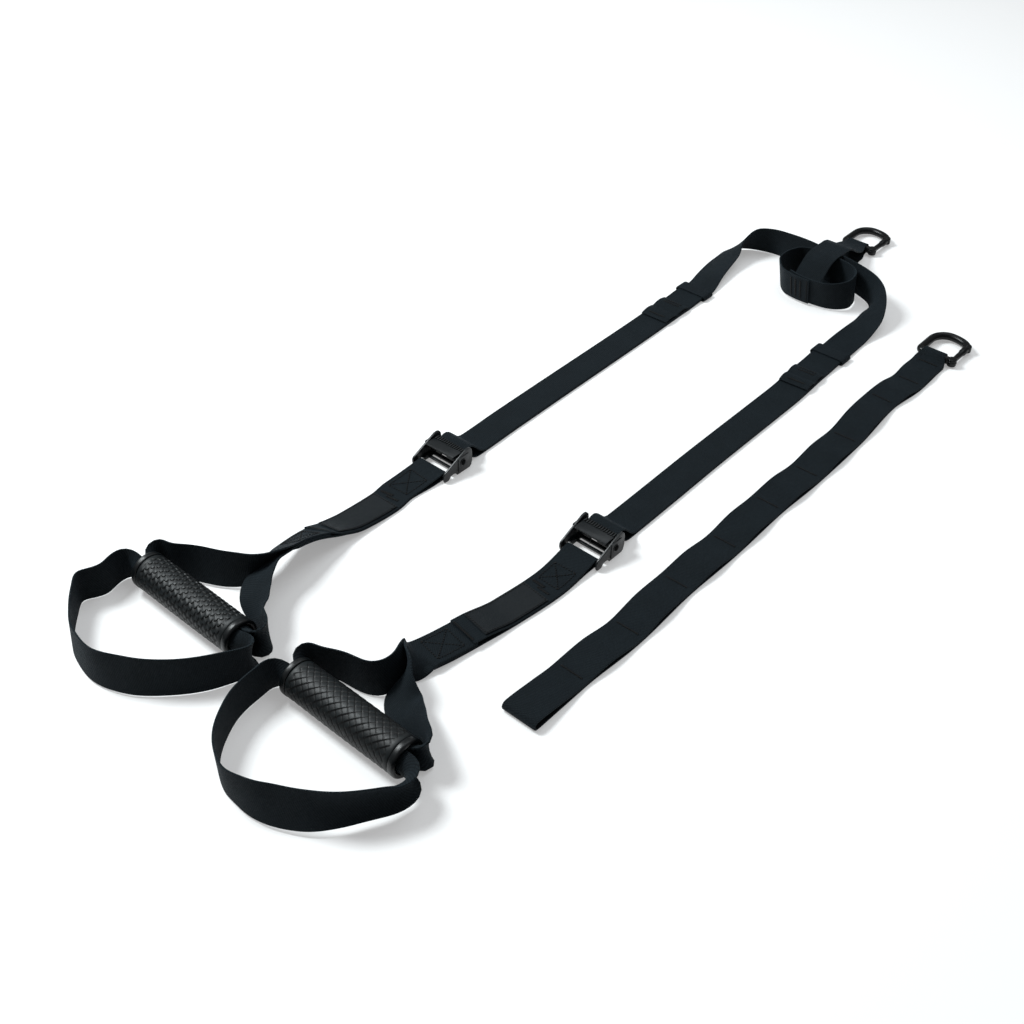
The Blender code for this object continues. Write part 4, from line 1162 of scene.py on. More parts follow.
@dataclass
class MainStrap:
    """One webbing from the left tail through both buckles and the knot to the right tail."""

    fold_puff: float = 0.0022
    fold_margin: float = 0.007
    fold_steps: int = 12

    # Places of a leg and of its keeper: shares of the leg's length along and of the legs' spacing across
    SWAY = {-1: ((0.17, -0.007), (0.6, -0.019)), 1: ((0.17, -0.002), (0.35, -0.007), (0.6, -0.005))}
    KEEPER_SWAY = {-1: -0.027, 1: -0.019}
    # Where the strap lies flat again before the keeper and where it is raised, in keeper widths
    KEEPER_FLAT, KEEPER_NEAR, KEEPER_PAST = 2, 0.7, 0.6
    # First and last row of stitches on each tail's sewn stop
    STOP_ROWS = {-1: (0.387, 0.422), 1: (0.376, 0.402)}
    STOP_TACKS = (0.006, 0.011)
    FOLD_WIDTH = 0.985
    # Across in spacings, along in loop depths, height in webbing widths, and the strap's width direction
    LEFT_TWIST = (
        (-0.575, -1.11, 0.045, (-1, 0, -0.08)), (-0.601, -0.79, 0.1, (-0.98, 0, -0.19)),
        (-0.628, -0.32, 0.165, (-0.95, 0, -0.3)), (-0.635, -0.11, 0.21, (-0.92, 0, -0.39)),
        (-0.645, 0.11, 0.33, (-0.79, 0, -0.62)), (-0.623, 0.36, 0.44, (-0.5, 0.35, -0.79)),
        (-0.558, 0.597, 0.5, (-0.13, 0.2, -0.97)), (-0.425, 0.722, 0.51, (0, 0.08, -1)),
        (-0.28, 0.71, 0.535, (0, 0, -1)), (-0.18, 0.68, 0.54, (0, -0.05, -1)),
        (-0.04, 0.63, 0.54, (0, -0.05, -1)), (0.12, 0.55, 0.54, (0, -0.1, -1)),
    )
    RIGHT_TWIST = (
        (0.24, 0.44, 0.54, (-0.05, -0.15, -1)), (0.318, 0.34, 0.53, (-0.15, -0.1, -0.98)),
        (0.385, 0.17, 0.48, (-0.4, 0, -0.9)), (0.42, -0.1, 0.34, (-0.8, 0, -0.6)),
        (0.443, -0.44, 0.17, (-0.96, 0, -0.28)), (0.44, -1.0, 0.03, (-1, 0, 0)),
    )
    # Over the buckle and up to its rear bar: along in places of the bar, height in its heights
    HUMP = ((1.4, 1.5), (2.0, 1.32), (2.55, 0.83), (3.0, 0.42), (3.6, 0.2))
    APPROACH = ((2.6, 0), (1.95, 0.2), (1.42, 0.54))
    HUMP_START = 4.4

    def tail_end(self, side: Side) -> float:
        """Where one tail ends."""
        return LAYOUT.tail + (LAYOUT.tail_stagger if side is Side.LEFT else 0)

    def leg(self, side: Side) -> list[Row]:
        """One leg from its tail end, down to the buckle, round the rear bar and back up the floor.

        Args:
            side: which leg.

        Returns:
            Its stations in order.
        """
        x, width, tail_end = LAYOUT.leg_x(side), -ACROSS, self.tail_end(side)
        step = WEB.keeper_width
        keeper = tail_end - step / 2
        near, flat = keeper - step * self.KEEPER_NEAR, keeper - step * self.KEEPER_FLAT
        keeper_x = x + self.KEEPER_SWAY[side.value] * LAYOUT.leg_spacing
        upper, raised = WEB.half + WEB.layer, WEB.keeper_thickness + WEB.gap
        rear_y, rear_z = BUCKLE.rear_y, BUCKLE.rear_z
        bend = BUCKLE.rear_bar / 2 + WEB.gap + WEB.half
        tail = [station((keeper_x, tail_end, upper + raised), width),
                station((keeper_x, near, upper + raised), width),
                station((keeper_x, flat, upper), width)]
        back = [station((keeper_x, flat, WEB.half), width),
                station((keeper_x, near, WEB.half + raised), width),
                station((keeper_x, keeper + step * self.KEEPER_PAST, WEB.half + raised), width)]
        sway = [(x + across * LAYOUT.leg_spacing, along * LAYOUT.leg_run)
                for along, across in self.SWAY[side.value]]
        tail += [station((at, y, upper), width) for at, y in reversed(sway)]
        back = [station((at, y, WEB.half), width) for at, y in sway] + back
        hump = [station((x, share * rear_y, height * rear_z), width) for share, height in self.HUMP]
        hump.append(station((x, rear_y * self.HUMP_START, upper), width))
        wrap = arc((x, rear_y, rear_z), bend, math.pi * 0.5, math.pi * 1.45, 6, width)
        climb = [station((x, along * rear_y, WEB.half + height * rear_z), width)
                 for along, height in reversed(self.APPROACH)]
        return tail + hump[::-1] + wrap + climb + back

    def knot(self) -> list[Row]:
        """The stretch that twists on its edge, passes the loops and twists down again.

        Returns:
            Its stations in order.
        """
        rows = []
        for across, along, height, width in self.LEFT_TWIST + self.RIGHT_TWIST:
            place = (LAYOUT.knot_x + across * LAYOUT.leg_spacing, LAYOUT.leg_run + along * LAYOUT.loop_depth,
                     WEB.half + height * WEB.width)
            rows.append(station(place, Vector(width)))
        return rows

    def keeper(self, side: Side) -> list[Section]:
        """The sewn band round both layers of a leg.

        Args:
            side: which leg.

        Returns:
            The band's sections.
        """
        x = LAYOUT.leg_x(side) + self.KEEPER_SWAY[side.value] * LAYOUT.leg_spacing
        y = self.tail_end(side) - WEB.keeper_width / 2 - WEB.gap
        half = WEB.keeper_thickness / 2
        bottom, top = half, WEB.keeper_thickness + half + 2 * WEB.layer + WEB.gap * 2
        middle, rise = (bottom + top) / 2, (top - bottom) / 2
        reach, width = WEB.width / 2 + WEB.gap, Vector((0, 1, 0))
        right = arc((x + reach, y, middle), rise, -math.pi / 2, math.pi / 2, 4, width, WEB.keeper_width, 0)
        left = arc((x - reach, y, middle), rise, math.pi / 2, math.pi * 1.5, 4, width, WEB.keeper_width, 0)
        return sections_of(right + left, True, 0.003)

    def stop_fold(self, side: Side, strap: Strap) -> Strap:
        """The tail's end folded back on itself and sewn, so that it can't pull out of the buckle.

        Args:
            side: which tail.
            strap: the main strap that it lies on.

        Returns:
            The folded end.
        """
        low, high = self.STOP_ROWS[side.value]
        start = self.tail_end(side) - high - self.fold_margin
        length = high - low + 2 * self.fold_margin
        rows = []
        total = strap.length()
        for i in range(self.fold_steps + 1):
            along = start + length * i / self.fold_steps
            if side is Side.RIGHT:
                along = total - along
            puff = self.fold_puff * abs(math.sin(2 * math.pi * i / self.fold_steps))
            point, run, out = strap.spot(along, 0.0, side.value * (WEB.layer + puff))
            rows.append(station(point, out.cross(run), breadth=WEB.width * self.FOLD_WIDTH))
        return Strap("stop_fold_" + side.label, sections_of(rows, step=0.002))

    def build(self, cloth: Finish, thread: Finish) -> None:
        """Make the strap, its keepers and its sewn stops.

        Args:
            cloth: the webbing's material.
            thread: the stitches' material.
        """
        stations = self.leg(Side.LEFT) + self.knot() + self.leg(Side.RIGHT)[::-1]
        strap = Strap("main_webbing", sections_of(stations, step=0.0045, ease=1))
        seam = Seam("stop_stitches")
        item = strap.build(cloth, "straps")
        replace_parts(item, "main_strap")
        for side in Side:
            fold = self.stop_fold(side, strap)
            length = fold.length()
            for along in (*self.STOP_TACKS, length - self.fold_margin):
                seam.tack(fold, along, 0.3, -seam.lift)
            piece = fold.build(cloth, "straps")
            band = Strap("keeper_band_" + side.label, self.keeper(side), True, 4, WEB.keeper_thickness)
            loop = band.build(cloth, "straps")
            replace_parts(loop, "keeper_" + side.label)
            band.length()
        strap.length()
        seam.build(thread, "straps")


# Locking loop, equalizer loop and anchor strap


@dataclass
class Knot:
    """The loops that join the main strap to its carabiner."""

    loop_length: float = 0.104
    reach: float = 0.1385
    rod: float = 0.0095
    turn_radius: float = 0.002
    eye_shift: float = 0.0015
    lap_margin: float = 0.003

    # Across in loop lengths, along in loop depths, and the strap's width direction
    LOOP = (
        (-0.22, -0.41, (0, 0.1, -1)), (-0.03, -0.452, (0, 0.18, -1)), (0.09, -0.45, (0, 0.2, -1)),
        (0.24, -0.42, (0.05, 0.2, -1)), (0.4, -0.28, (0.1, 0.15, -1)), (0.48, -0.05, (0.12, 0, -1)),
        (0.455, 0.17, (0.1, 0, -1)), (0.35, 0.36, (0, 0, -1)), (0.16, 0.465, (0, 0, -1)),
        (-0.08, 0.505, (0, 0, -1)), (-0.32, 0.47, (0, 0, -1)), (-0.45, 0.34, (0, 0, -1)),
        (-0.485, 0.1, (0.1, 0, -1)), (-0.47, -0.1, (0.15, 0.05, -1)), (-0.395, -0.29, (0.1, 0.15, -1)),
        (-0.25, -0.45, (0.05, 0.2, -1)), (-0.03, -0.495, (0, 0.22, -1)), (0.09, -0.49, (0, 0.22, -1)),
    )
    # The equalizer's way up, over and down: along in loop depths, height in shares of its crest
    ARCH = ((-0.24, 0.2), (-0.12, 0.42), (0.1, 0.76), (0.24, 0.93), (0.42, 1), (0.79, 1))
    FALL = ((0.94, 0.94), (1.2, 0.66), (1.5, 0.42))
    LAP_ROWS = (0.012, 0.019, 0.026)
    ARCH_SHIFT = -0.1
    EYE_SHIFT = -0.178

    @property
    def edge_height(self) -> float:
        """Middle of a strap that stands on its edge over the floor layer."""
        return WEB.layer + WEB.gap + WEB.width / 2

    @property
    def eye_radius(self) -> float:
        """From the carabiner's bar to the middle of the webbing round it."""
        return self.rod / 2 + WEB.gap + WEB.half

    @property
    def bar_height(self) -> float:
        """Height of a carabiner's bar."""
        return self.eye_radius + WEB.half

    @property
    def main_bar(self) -> Vector:
        """Middle of the main carabiner's bar."""
        return Vector((LAYOUT.knot_x + self.EYE_SHIFT * self.loop_length + self.eye_shift,
                       LAYOUT.leg_run + self.reach, self.bar_height))

    @property
    def anchor_bar(self) -> Vector:
        """Middle of the anchor carabiner's bar."""
        return Vector((LAYOUT.anchor_offset + self.eye_shift,
                       LAYOUT.anchor_length - LAYOUT.anchor_start, self.bar_height))

    def locking(self) -> list[Row]:
        """The locking loop on its edge, closed by a lap on the near side."""
        return [station((LAYOUT.knot_x + across * self.loop_length,
                         LAYOUT.leg_run + along * LAYOUT.loop_depth, self.edge_height), Vector(width))
                for across, along, width in self.LOOP]

    def equalizer(self) -> list[Row]:
        """Round the carabiner, over the main strap and the loop, down inside it and back underneath.

        Returns:
            Its stations in order.
        """
        eye_x, eye_y = self.main_bar.x - self.eye_shift, self.main_bar.y
        arch_x = LAYOUT.knot_x + self.ARCH_SHIFT * self.loop_length
        crest = self.edge_height + WEB.width / 2 + WEB.gap * 2 + WEB.half
        run, depth = LAYOUT.leg_run, LAYOUT.loop_depth
        eye = arc((eye_x, eye_y, self.bar_height), self.eye_radius, math.pi * 0.6, -math.pi * 0.5, 7, ACROSS,
                  WEB.eye_width)
        under = [station((eye_x, eye_y - WEB.width * 0.5, WEB.half), ACROSS),
                 station((arch_x, run + depth * 0.8, WEB.half), ACROSS)]
        turn = arc((arch_x, run - depth * 0.28, WEB.half + self.turn_radius), self.turn_radius,
                   -math.pi * 0.5, -math.pi * 1.35, 5, ACROSS)
        rise = [station((arch_x, run + along * depth, share * crest), ACROSS) for along, share in self.ARCH]
        fall = []
        for along, share in self.FALL:
            lean = (eye_x - arch_x) * (along - 0.9)
            fall.append(station((arch_x + lean, run + along * depth, share * crest), ACROSS))
        return eye + under + turn + rise + fall

    def build(self, cloth: Finish, thread: Finish) -> None:
        """Make both loops and the lap's stitches.

        Args:
            cloth: the webbing's material.
            thread: the stitches' material.
        """
        loop = Strap("locking_webbing", sections_of(self.locking(), step=0.003))
        seam = Seam("lap_stitches")
        length = loop.length()
        for along in self.LAP_ROWS:
            seam.tack(loop, length - along, 0.36, -seam.lift, 0.003)
        end = length - self.lap_margin
        seam.row(loop, (end, -0.45), (end, 0.45), -seam.lift, 0.0018)
        item = loop.build(cloth, "straps")
        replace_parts(item, "locking_loop")
        seam.build(thread, "straps")
        arch = Strap("equalizer_webbing", sections_of(self.equalizer(), True, 0.003), True)
        item = arch.build(cloth, "straps")
        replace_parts(item, "equalizer_loop")
        arch.length()


KNOT = Knot()


@dataclass
class AnchorStrap:
    """Two layers tacked together at intervals, open at the near end."""

    pillow: float = 0.0032
    nose: float = 0.0095

    # Bar tacks in shares of the strap's length, then the strap's places with their shift in widths
    TACKS = (0.09, 0.192, 0.305, 0.405, 0.512, 0.613, 0.72, 0.838, 0.915, 0.972)
    SWAY = ((0.01, 0.0), (0.09, 0.0), (0.192, 0.1), (0.305, 0.02), (0.405, 0.06), (0.512, 0.02),
            (0.613, 0.08), (0.72, 0.05), (0.838, -0.11), (0.915, 0.03), (0.972, 0.0))
    # Where the layers part before the eye and at the open end, in shares of the length
    EYE_START, NOSE_START = 0.985, 0.05
    EYE_LAYERS = 1.6
    # A pillow is full from a tenth of the length between its tacks
    PILLOW_RISE = 10

    def at(self, share: float, sway: float = 0.0) -> tuple[float, float]:
        """The place across and along at a share of the length, shifted by a share of the width."""
        return (LAYOUT.anchor_offset + sway * WEB.width,
                -LAYOUT.anchor_start + share * LAYOUT.anchor_length)

    def stations(self) -> tuple[list[Row], list[Row]]:
        """The lower layer with the eye, and the upper layer with the nose.

        Returns:
            The stations of each layer.
        """
        half_nose = (self.nose - WEB.half) / 2
        lower = [station((*self.at(share, sway), WEB.half), ACROSS) for share, sway in self.SWAY]
        lower.append(station((*self.at(self.EYE_START), WEB.half), ACROSS))
        eye = arc((LAYOUT.anchor_offset, KNOT.anchor_bar.y, KNOT.bar_height), KNOT.eye_radius,
                  -math.pi * 0.5, math.pi * 0.6, 7, ACROSS, WEB.eye_width)
        start = (*self.at(self.EYE_START), WEB.half + WEB.layer * self.EYE_LAYERS)
        upper, sways = [station(start, ACROSS)], dict(self.SWAY)
        for i in reversed(range(len(self.TACKS))):
            share = self.TACKS[i]
            upper.append(station((*self.at(share, sways[share]), WEB.half + WEB.layer), ACROSS))
            if i:
                before = self.TACKS[i - 1]
                lean = (sways[share] + sways[before]) / 2
                height = WEB.half + WEB.layer + self.pillow * min(1, (share - before) * self.PILLOW_RISE)
                upper.append(station((*self.at((share + before) / 2, lean), height), ACROSS))
        upper.append(station((*self.at(self.NOSE_START), (WEB.half + WEB.layer + self.nose) / 2), ACROSS))
        tip = (LAYOUT.anchor_offset, -LAYOUT.anchor_start + half_nose, WEB.half + half_nose)
        nose = arc(tip, half_nose, math.pi * 0.5, math.pi * 1.5, 6, ACROSS)
        return lower + eye, upper + nose[:-1]

    def build(self, cloth: Finish, thread: Finish) -> None:
        """Make the strap and its tacks.

        Args:
            cloth: the webbing's material.
            thread: the stitches' material.
        """
        lower, upper = self.stations()
        strap = Strap("anchor_webbing", sections_of(lower + upper, True, 0.0045), True)
        item = strap.build(cloth, "anchor")
        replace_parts(item, "anchor_strap")
        top = Strap("top", sections_of(upper, step=0.0045))
        seam = Seam("anchor_tacks")
        for share in self.TACKS:
            along = -LAYOUT.anchor_start + share * LAYOUT.anchor_length
            run = 0.0
            for one, other in zip(top.sections, top.sections[1:]):
                if other.point.y <= along:
                    break
                run += (other.point - one.point).length
            seam.tack(top, run, 0.33, seam.lift, 0.0022)
        strap.length()
        seam.build(thread, "anchor")


# Carabiners


def laid(verts: Sequence[Vert], middle: Vector, way: Vector, radius: float) -> None:
    """Put a ring of vertices round a rod that lies flat.

    Args:
        verts: the ring's vertices in order.
        middle: its centre.
        way: the direction along the rod.
        radius: its radius.
    """
    side = way.cross(UP).normalized()
    for k, vert in enumerate(verts):
        angle = 2 * math.pi * k / len(verts)
        vert.co = middle + (side * math.cos(angle) + UP * math.sin(angle)) * radius


# Rounded end of a rod: how far past its last point and how wide, in radii
ROD_END = ((0.42, 0.55), (0.25, 0.85))
ROD_SIDES = 28


def swept(shape: Shape, points: Sequence[Vector], radius: float) -> None:
    """Add a rod of even thickness with rounded ends along a line of points.

    Args:
        shape: the bmesh that it is added to.
        points: the rod's middle, in the floor's plane.
        radius: its radius.
    """
    made = bmesh.ops.create_circle(shape, cap_ends=False, radius=radius, segments=ROD_SIDES)
    line = list(made["verts"])
    edges = list({edge for vert in line for edge in vert.link_edges})
    run = (points[1] - points[0]).normalized()
    stops = [(points[0] - run * radius * past, share, run) for past, share in ROD_END]
    for i, point in enumerate(points):
        before, after = points[max(i - 1, 0)], points[min(i + 1, len(points) - 1)]
        stops.append((point, 1.0, (after - before).normalized()))
    run = (points[-1] - points[-2]).normalized()
    stops += [(points[-1] + run * radius * past, share, run) for past, share in reversed(ROD_END)]
    laid(line, stops[0][0], stops[0][2], radius * stops[0][1])
    for middle, share, way in stops[1:]:
        line, edges = grown(shape, line, edges)
        laid(line, middle, way, radius * share)
    bmesh.ops.holes_fill(shape, edges=[edge for edge in shape.edges if edge.is_boundary], sides=0)


@dataclass
class Carabiner:
    """Ring with a sprung gate, flat in its plane with the webbing's bar at the local origin."""

    name: str
    bar: Vector
    width: float = 0.052
    length: float = 0.060
    rod: float = KNOT.rod
    gate: float = 0.0088

    # Ring's line: its bends in half rods and in shares of its half width and of its top's height
    BEND = 1.1
    BAR_END = 0.6
    LEAN = -0.12
    SHOULDER = 0.42
    CORNER_STEPS = 18
    NOSE_HEIGHT = 0.74
    NOSE_PAST = 0.3
    # Discs: radius, depth and soft edge in rod widths
    BOSS = (0.6, 0.42, 0.09)
    NOSE = (0.56, 0.86, 0.09)
    KNUCKLE = (0.56, 0.98, 0.1)
    # Outline of the gate: radius in half gates, then along in half gates and in shares of its top's height
    SHAFT = ((0, -0.9, 0), (0.5, -0.85, 0), (0.85, -0.5, 0), (0.95, 0, 0), (0.86, 1.2, 0), (0.8, 1.6, 0),
             (0.8, 0, 0.66), (0.98, 0, 0.7), (1, -0.7, 1), (0.86, -0.24, 1), (0, -0.2, 1))

    @property
    def side_x(self) -> float:
        """Distance of the spine and gate from the middle."""
        return self.width / 2 - self.rod / 2

    @property
    def top_y(self) -> float:
        """Height of the ring's top above the bar."""
        return self.length - self.rod

    @property
    def gate_top(self) -> float:
        """Where the gate meets the nose."""
        return self.top_y * self.NOSE_HEIGHT

    def corner(self, centre: tuple[float, float], radii: tuple[float, float], start: float,
               end: float) -> list[Vector]:
        """Points of an oval corner.

        Args:
            centre: the oval's centre.
            radii: its half width and half length.
            start: the first angle.
            end: the last angle.

        Returns:
            The points in order.
        """
        turns = [start + (end - start) * i / self.CORNER_STEPS for i in range(self.CORNER_STEPS + 1)]
        return [Vector((centre[0] + radii[0] * math.cos(turn), centre[1] + radii[1] * math.sin(turn), 0))
                for turn in turns]

    def path(self) -> list[Vector]:
        """Line of the rod: gate end of the bar, spine, round top and down to the nose.

        Returns:
            The points in order.
        """
        half, side, top = self.rod / 2, self.side_x, self.top_y
        tight, middle = half * self.BEND, side * self.LEAN
        left, right = top * self.SHOULDER, top - self.gate_top - WEB.gap * 2
        points = [Vector((side - half * self.BAR_END, 0, 0)), Vector((0, 0, 0))]
        points += self.corner((-side + tight, tight), (tight, tight), -math.pi / 2, -math.pi)
        points += self.corner((middle, top - left), (middle + side, left), math.pi, math.pi / 2)
        points += self.corner((middle, top - right), (side - middle, right), math.pi / 2, 0)[1:]
        return points

    def disc(self, shape: Shape, centre: Point, size: Point) -> None:
        """Add an upright disc with soft rims.

        Args:
            shape: the bmesh that it is added to.
            centre: its centre.
            size: its radius, depth and soft edge, in rod widths.
        """
        radius, depth, edge = (self.rod * share for share in size)
        verts = cylinder(shape, radius, depth, Matrix.Translation(centre), 36)
        lines = {line for vert in verts for line in vert.link_edges}
        level = {line for line in lines if abs(line.verts[0].co.z - line.verts[1].co.z) < TINY}
        softened(shape, level, edge, 3)

    def ring(self, finish: Finish) -> Item:
        """The bent rod with its hinge boss and nose.

        Args:
            finish: its material.

        Returns:
            The ring's object.
        """
        shape = bmesh.new()
        swept(shape, self.path(), self.rod / 2)
        self.disc(shape, (self.side_x, 0, 0), self.BOSS)
        past = self.rod * self.NOSE[0] * self.NOSE_PAST
        self.disc(shape, (self.side_x, self.gate_top + past, 0), self.NOSE)
        bmesh.ops.translate(shape, verts=shape.verts, vec=self.bar)
        return finished("ring_" + self.name, shape, finish, self.name + "_carabiner")

    def gate_piece(self, finish: Finish) -> Item:
        """The gate: a turned shaft with a knuckle at the pin and a collar at the nose.

        Args:
            finish: its material.

        Returns:
            The gate's object.
        """
        shape = bmesh.new()
        half, top = self.gate / 2, self.gate_top
        points = [(half * out, half * near + top * far, 0) for out, near, far in self.SHAFT]
        turned(shape, points, 32, axis=(0, 1, 0), closed=False)
        bmesh.ops.remove_doubles(shape, verts=shape.verts, dist=TINY)
        self.disc(shape, (0, 0, 0), self.KNUCKLE)
        bmesh.ops.recalc_face_normals(shape, faces=shape.faces)
        bmesh.ops.translate(shape, verts=shape.verts, vec=self.bar + Vector((self.side_x, 0, 0)))
        return finished("sprung_gate_" + self.name, shape, finish, self.name + "_gate")

    def build(self, gloss: Finish, steel: Finish) -> None:
        """Make the ring, gate and pin.

        Args:
            gloss: the ring's and the gate's material.
            steel: the pin's material.
        """
        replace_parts(self.ring(gloss), "carabiner_" + self.name)
        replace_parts(self.gate_piece(gloss), "gate_" + self.name)
        repaint("gate_pin_" + self.name, steel)


# Handles


@dataclass
class Handle:
    """One handle: link with its label patch, hand strap, foot strap and rolling grip."""

    side: Side
    tread: Tread
    length: float = 0.142
    diameter: float = 0.038
    bore: float = 0.028
    tube_wall: float = 0.0016
    cap: float = 0.0068
    clearance: float = 0.0005
    cells_round: int = 14
    cell_steps: int = 16
    tread_depth: float = 0.0009
    crown: float = 0.00035
    plain_band: float = 0.0036
    seat: float = 0.0043
    rim_steps: int = 18
    patch_steps: int = 19
    patch_margin: float = 0.0015

    # The grip's middle, across and along in grip spacings
    PLACE = {-1: (-0.55, -0.019), 1: (0.455, -0.005)}
    # A strap's mouths at the left and right end of the tube: out and aside in bores, and share of the curl
    HAND_MOUTHS = {
        -1: (((0.12, 0.46, 0.85), (0.2, 0.6, 0.5), (0.14, 0.78, 0.2)),
             ((0.25, 0.35, 0.85), (0.46, 0.33, 0.6), (0.57, 0.47, 0.35), (0.5, 0.71, 0.1), (0.18, 0.91, 0))),
        1: (((0.12, 0.46, 0.85), (0.2, 0.6, 0.5), (0.14, 0.78, 0.2)),
            ((0.1, 0.45, 0.85), (0.18, 0.57, 0.55), (0.15, 0.74, 0.25), (0.02, 0.86, 0.08))),
    }
    FOOT_MOUTHS = {
        -1: (((0.21, 0.36, 0.75), (0.5, 0.3, 0.45), (0.73, 0.43, 0.2), (0.77, 0.79, 0.05)),
             ((0.32, 0.39, 0.85), (0.62, 0.27, 0.6), (0.86, 0.24, 0.36), (0.96, 0.36, 0.14),
              (0.92, 0.56, 0.03))),
        1: (((0.18, 0.4, 0.7), (0.43, 0.44, 0.4), (0.57, 0.66, 0.15)),
            ((0.3, 0.43, 0.92), (0.5, 0.5, 0.9), (0.58, 0.75, 0.84), (0.52, 1.1, 0.76))),
    }
    # Link: along and across in link lengths, height in webbing widths, and tilt
    LINK = {
        -1: ((0.06, 0, 0, 0), (0.23, -0.012, 0, 0), (0.35, 0.003, 0, 0), (0.56, -0.003, 0.04, 0.06),
             (0.69, -0.015, 0.16, 0.22), (0.82, -0.014, 0.36, 0.42), (0.94, 0, 0.53, 0.56),
             (1, 0.01, 0.6, 0.6)),
        1: ((0.06, 0, 0, 0), (0.23, 0.008, 0, 0), (0.53, -0.02, 0, 0), (0.72, -0.052, 0, 0),
            (0.88, -0.079, 0.02, 0), (1, -0.1, 0.08, 0)),
    }
    # Legs: across in grip lengths, along in drops, height in webbing widths, and width direction
    LEFT_LEG = {
        -1: ((0.106, 0.867, 0.73, (0.55, 0.1, 0.8)), (0.078, 0.735, 0.64, (0.3, 0.25, 0.9)),
             (0.028, 0.633, 0.55, (0.2, 0.3, 0.93)), (-0.042, 0.55, 0.51, (0, 0.3, 0.95)),
             (-0.13, 0.47, 0.5, (-0.12, 0.3, 0.94)), (-0.246, 0.393, 0.5, (-0.1, 0.33, 0.95)),
             (-0.366, 0.306, 0.5, (-0.1, 0.2, 0.97)), (-0.437, 0.25, 0.5, (0, 0.1, 1))),
        1: ((-0.084, 0.9, 0.35, (-0.7, 0, 0.7)), (-0.068, 0.776, 0.48, (-0.4, 0, 0.92)),
            (-0.06, 0.643, 0.5, (-0.1, 0.05, 1)), (-0.06, 0.52, 0.5, (-0.15, 0.2, 1)),
            (-0.092, 0.449, 0.5, (-0.1, 0.15, 1)), (-0.162, 0.393, 0.5, (0, 0.13, 1)),
            (-0.289, 0.362, 0.5, (0, 0.1, 1)), (-0.38, 0.327, 0.5, (0, 0, 1)),
            (-0.437, 0.28, 0.5, (0, 0, 1))),
    }
    RIGHT_LEG = {
        -1: ((0.113, 0.816, 0.66, (0.75, 0.1, 0.65)), (0.169, 0.612, 0.66, (0.85, 0.2, 0.5)),
             (0.268, 0.449, 0.62, (0.85, 0.3, 0.45)), (0.39, 0.345, 0.55, (0.5, 0.35, 0.8)),
             (0.465, 0.275, 0.51, (0.2, 0.1, 0.97))),
        1: ((-0.062, 0.9, 0.36, (-0.7, 0, 0.7)), (-0.035, 0.81, 0.46, (-0.5, 0, 0.87)),
            (-0.014, 0.714, 0.47, (0.4, -0.1, 0.9)), (0.021, 0.592, 0.4, (0.66, 0.1, 0.74)),
            (0.07, 0.51, 0.33, (0.66, 0.45, 0.6)), (0.141, 0.444, 0.26, (0.7, 0.55, 0.45)),
            (0.268, 0.362, 0.38, (0.45, 0.5, 0.74)), (0.38, 0.306, 0.45, (0.3, 0.3, 0.9)),
            (0.45, 0.265, 0.49, (0.15, 0.15, 0.98))),
    }
    # Foot strap: across, along, width direction and, where it is still curled, its curl and height
    FOOT = {
        -1: ((0.64, -0.25, (-0.05, 0.05, 1)), (0.565, -0.42, (-0.1, 0.15, 1)), (0.44, -0.61, (-0.1, 0.2, 1)),
             (0.21, -0.83, (-0.1, 0.3, 1)), (-0.05, -0.94, (0, 0.15, 1)), (-0.28, -0.89, (0.05, 0.1, 1)),
             (-0.45, -0.77, (0.1, 0.05, 1)), (-0.615, -0.6, (0.1, 0, 1)), (-0.69, -0.5, (0.05, 0, 1)),
             (-0.65, -0.4, (0, 0, 1)), (-0.625, -0.31, (0, 0, 1))),
        1: ((0.575, -0.345, (-0.1, 0.05, 1), 0.66, 0.53), (0.52, -0.475, (-0.1, 0.1, 1), 0.52, 0.56),
            (0.445, -0.63, (-0.15, 0.2, 1), 0.34, 0.57), (0.335, -0.77, (-0.2, 0.35, 0.95), 0.14, 0.53),
            (0.175, -0.89, (-0.15, 0.4, 0.95)),
            (0.0, -0.97, (0, 0.2, 1)), (-0.155, -0.99, (0, 0, 1)), (-0.285, -0.94, (0, 0, 1)),
            (-0.415, -0.83, (0, 0, 1)), (-0.52, -0.66, (0, 0, 1)), (-0.593, -0.465, (0, 0, 1)),
            (-0.615, -0.29, (0, 0, 1))),
    }
    PATCH_START = 0.345
    PATCH_SEAM = 0.46
    LAP = 0.8
    # Upward shift in layers, up to and from this share of the link, where the hand strap's ends lie inside
    ENDS_FROM, BELOW, ABOVE = 0.7, 1, 3
    # How much of the link's end the hand strap's ends follow
    END_STEP, END_COUNT = 0.008, 7
    # Near and far box of stitches, along the link
    BOXES = {-1: ((0.019, 0.050), (0.168, 0.198)), 1: ((0.027, 0.054), (0.168, 0.198))}

    # Tacks on the link: along, half width, depth and shift, and back from the lap's end for the last
    TACKS = ((0.0605, 0.2, 0.0045, -0.16), (0.0645, 0.2, 0.003, 0.1))
    LAP_TACK = (0.004, 0.4, 0.0028)
    # Tread, in cells and depths: tiles' line and row groove, their painted shade, slope and sink, and
    # scales' bow
    TILE_LINE, TILE_ROW, TILE_SHADE, TILE_SLOPE, TILE_SINK = 0.12, 0.16, 0.9, 0.6, 0.5
    SCALE_BOW, SCALE_SLOPE, SCALE_GROOVE = 0.5, 0.85, 0.22
    FALL_OFF = 1.3
    # How deep the tread's surface is looked for, how many steps it fades in over and its sharp edges
    SKIN, NUDGE, FADE_STEPS, SHARP = 0.001, 1e-4, 4, math.radians(50)
    # Rounded end of the sleeve: back from its end and down from its surface
    SLEEVE_END = ((0.0016, 0.0005), (0.0006, 0.0007), (0, 0.0013))
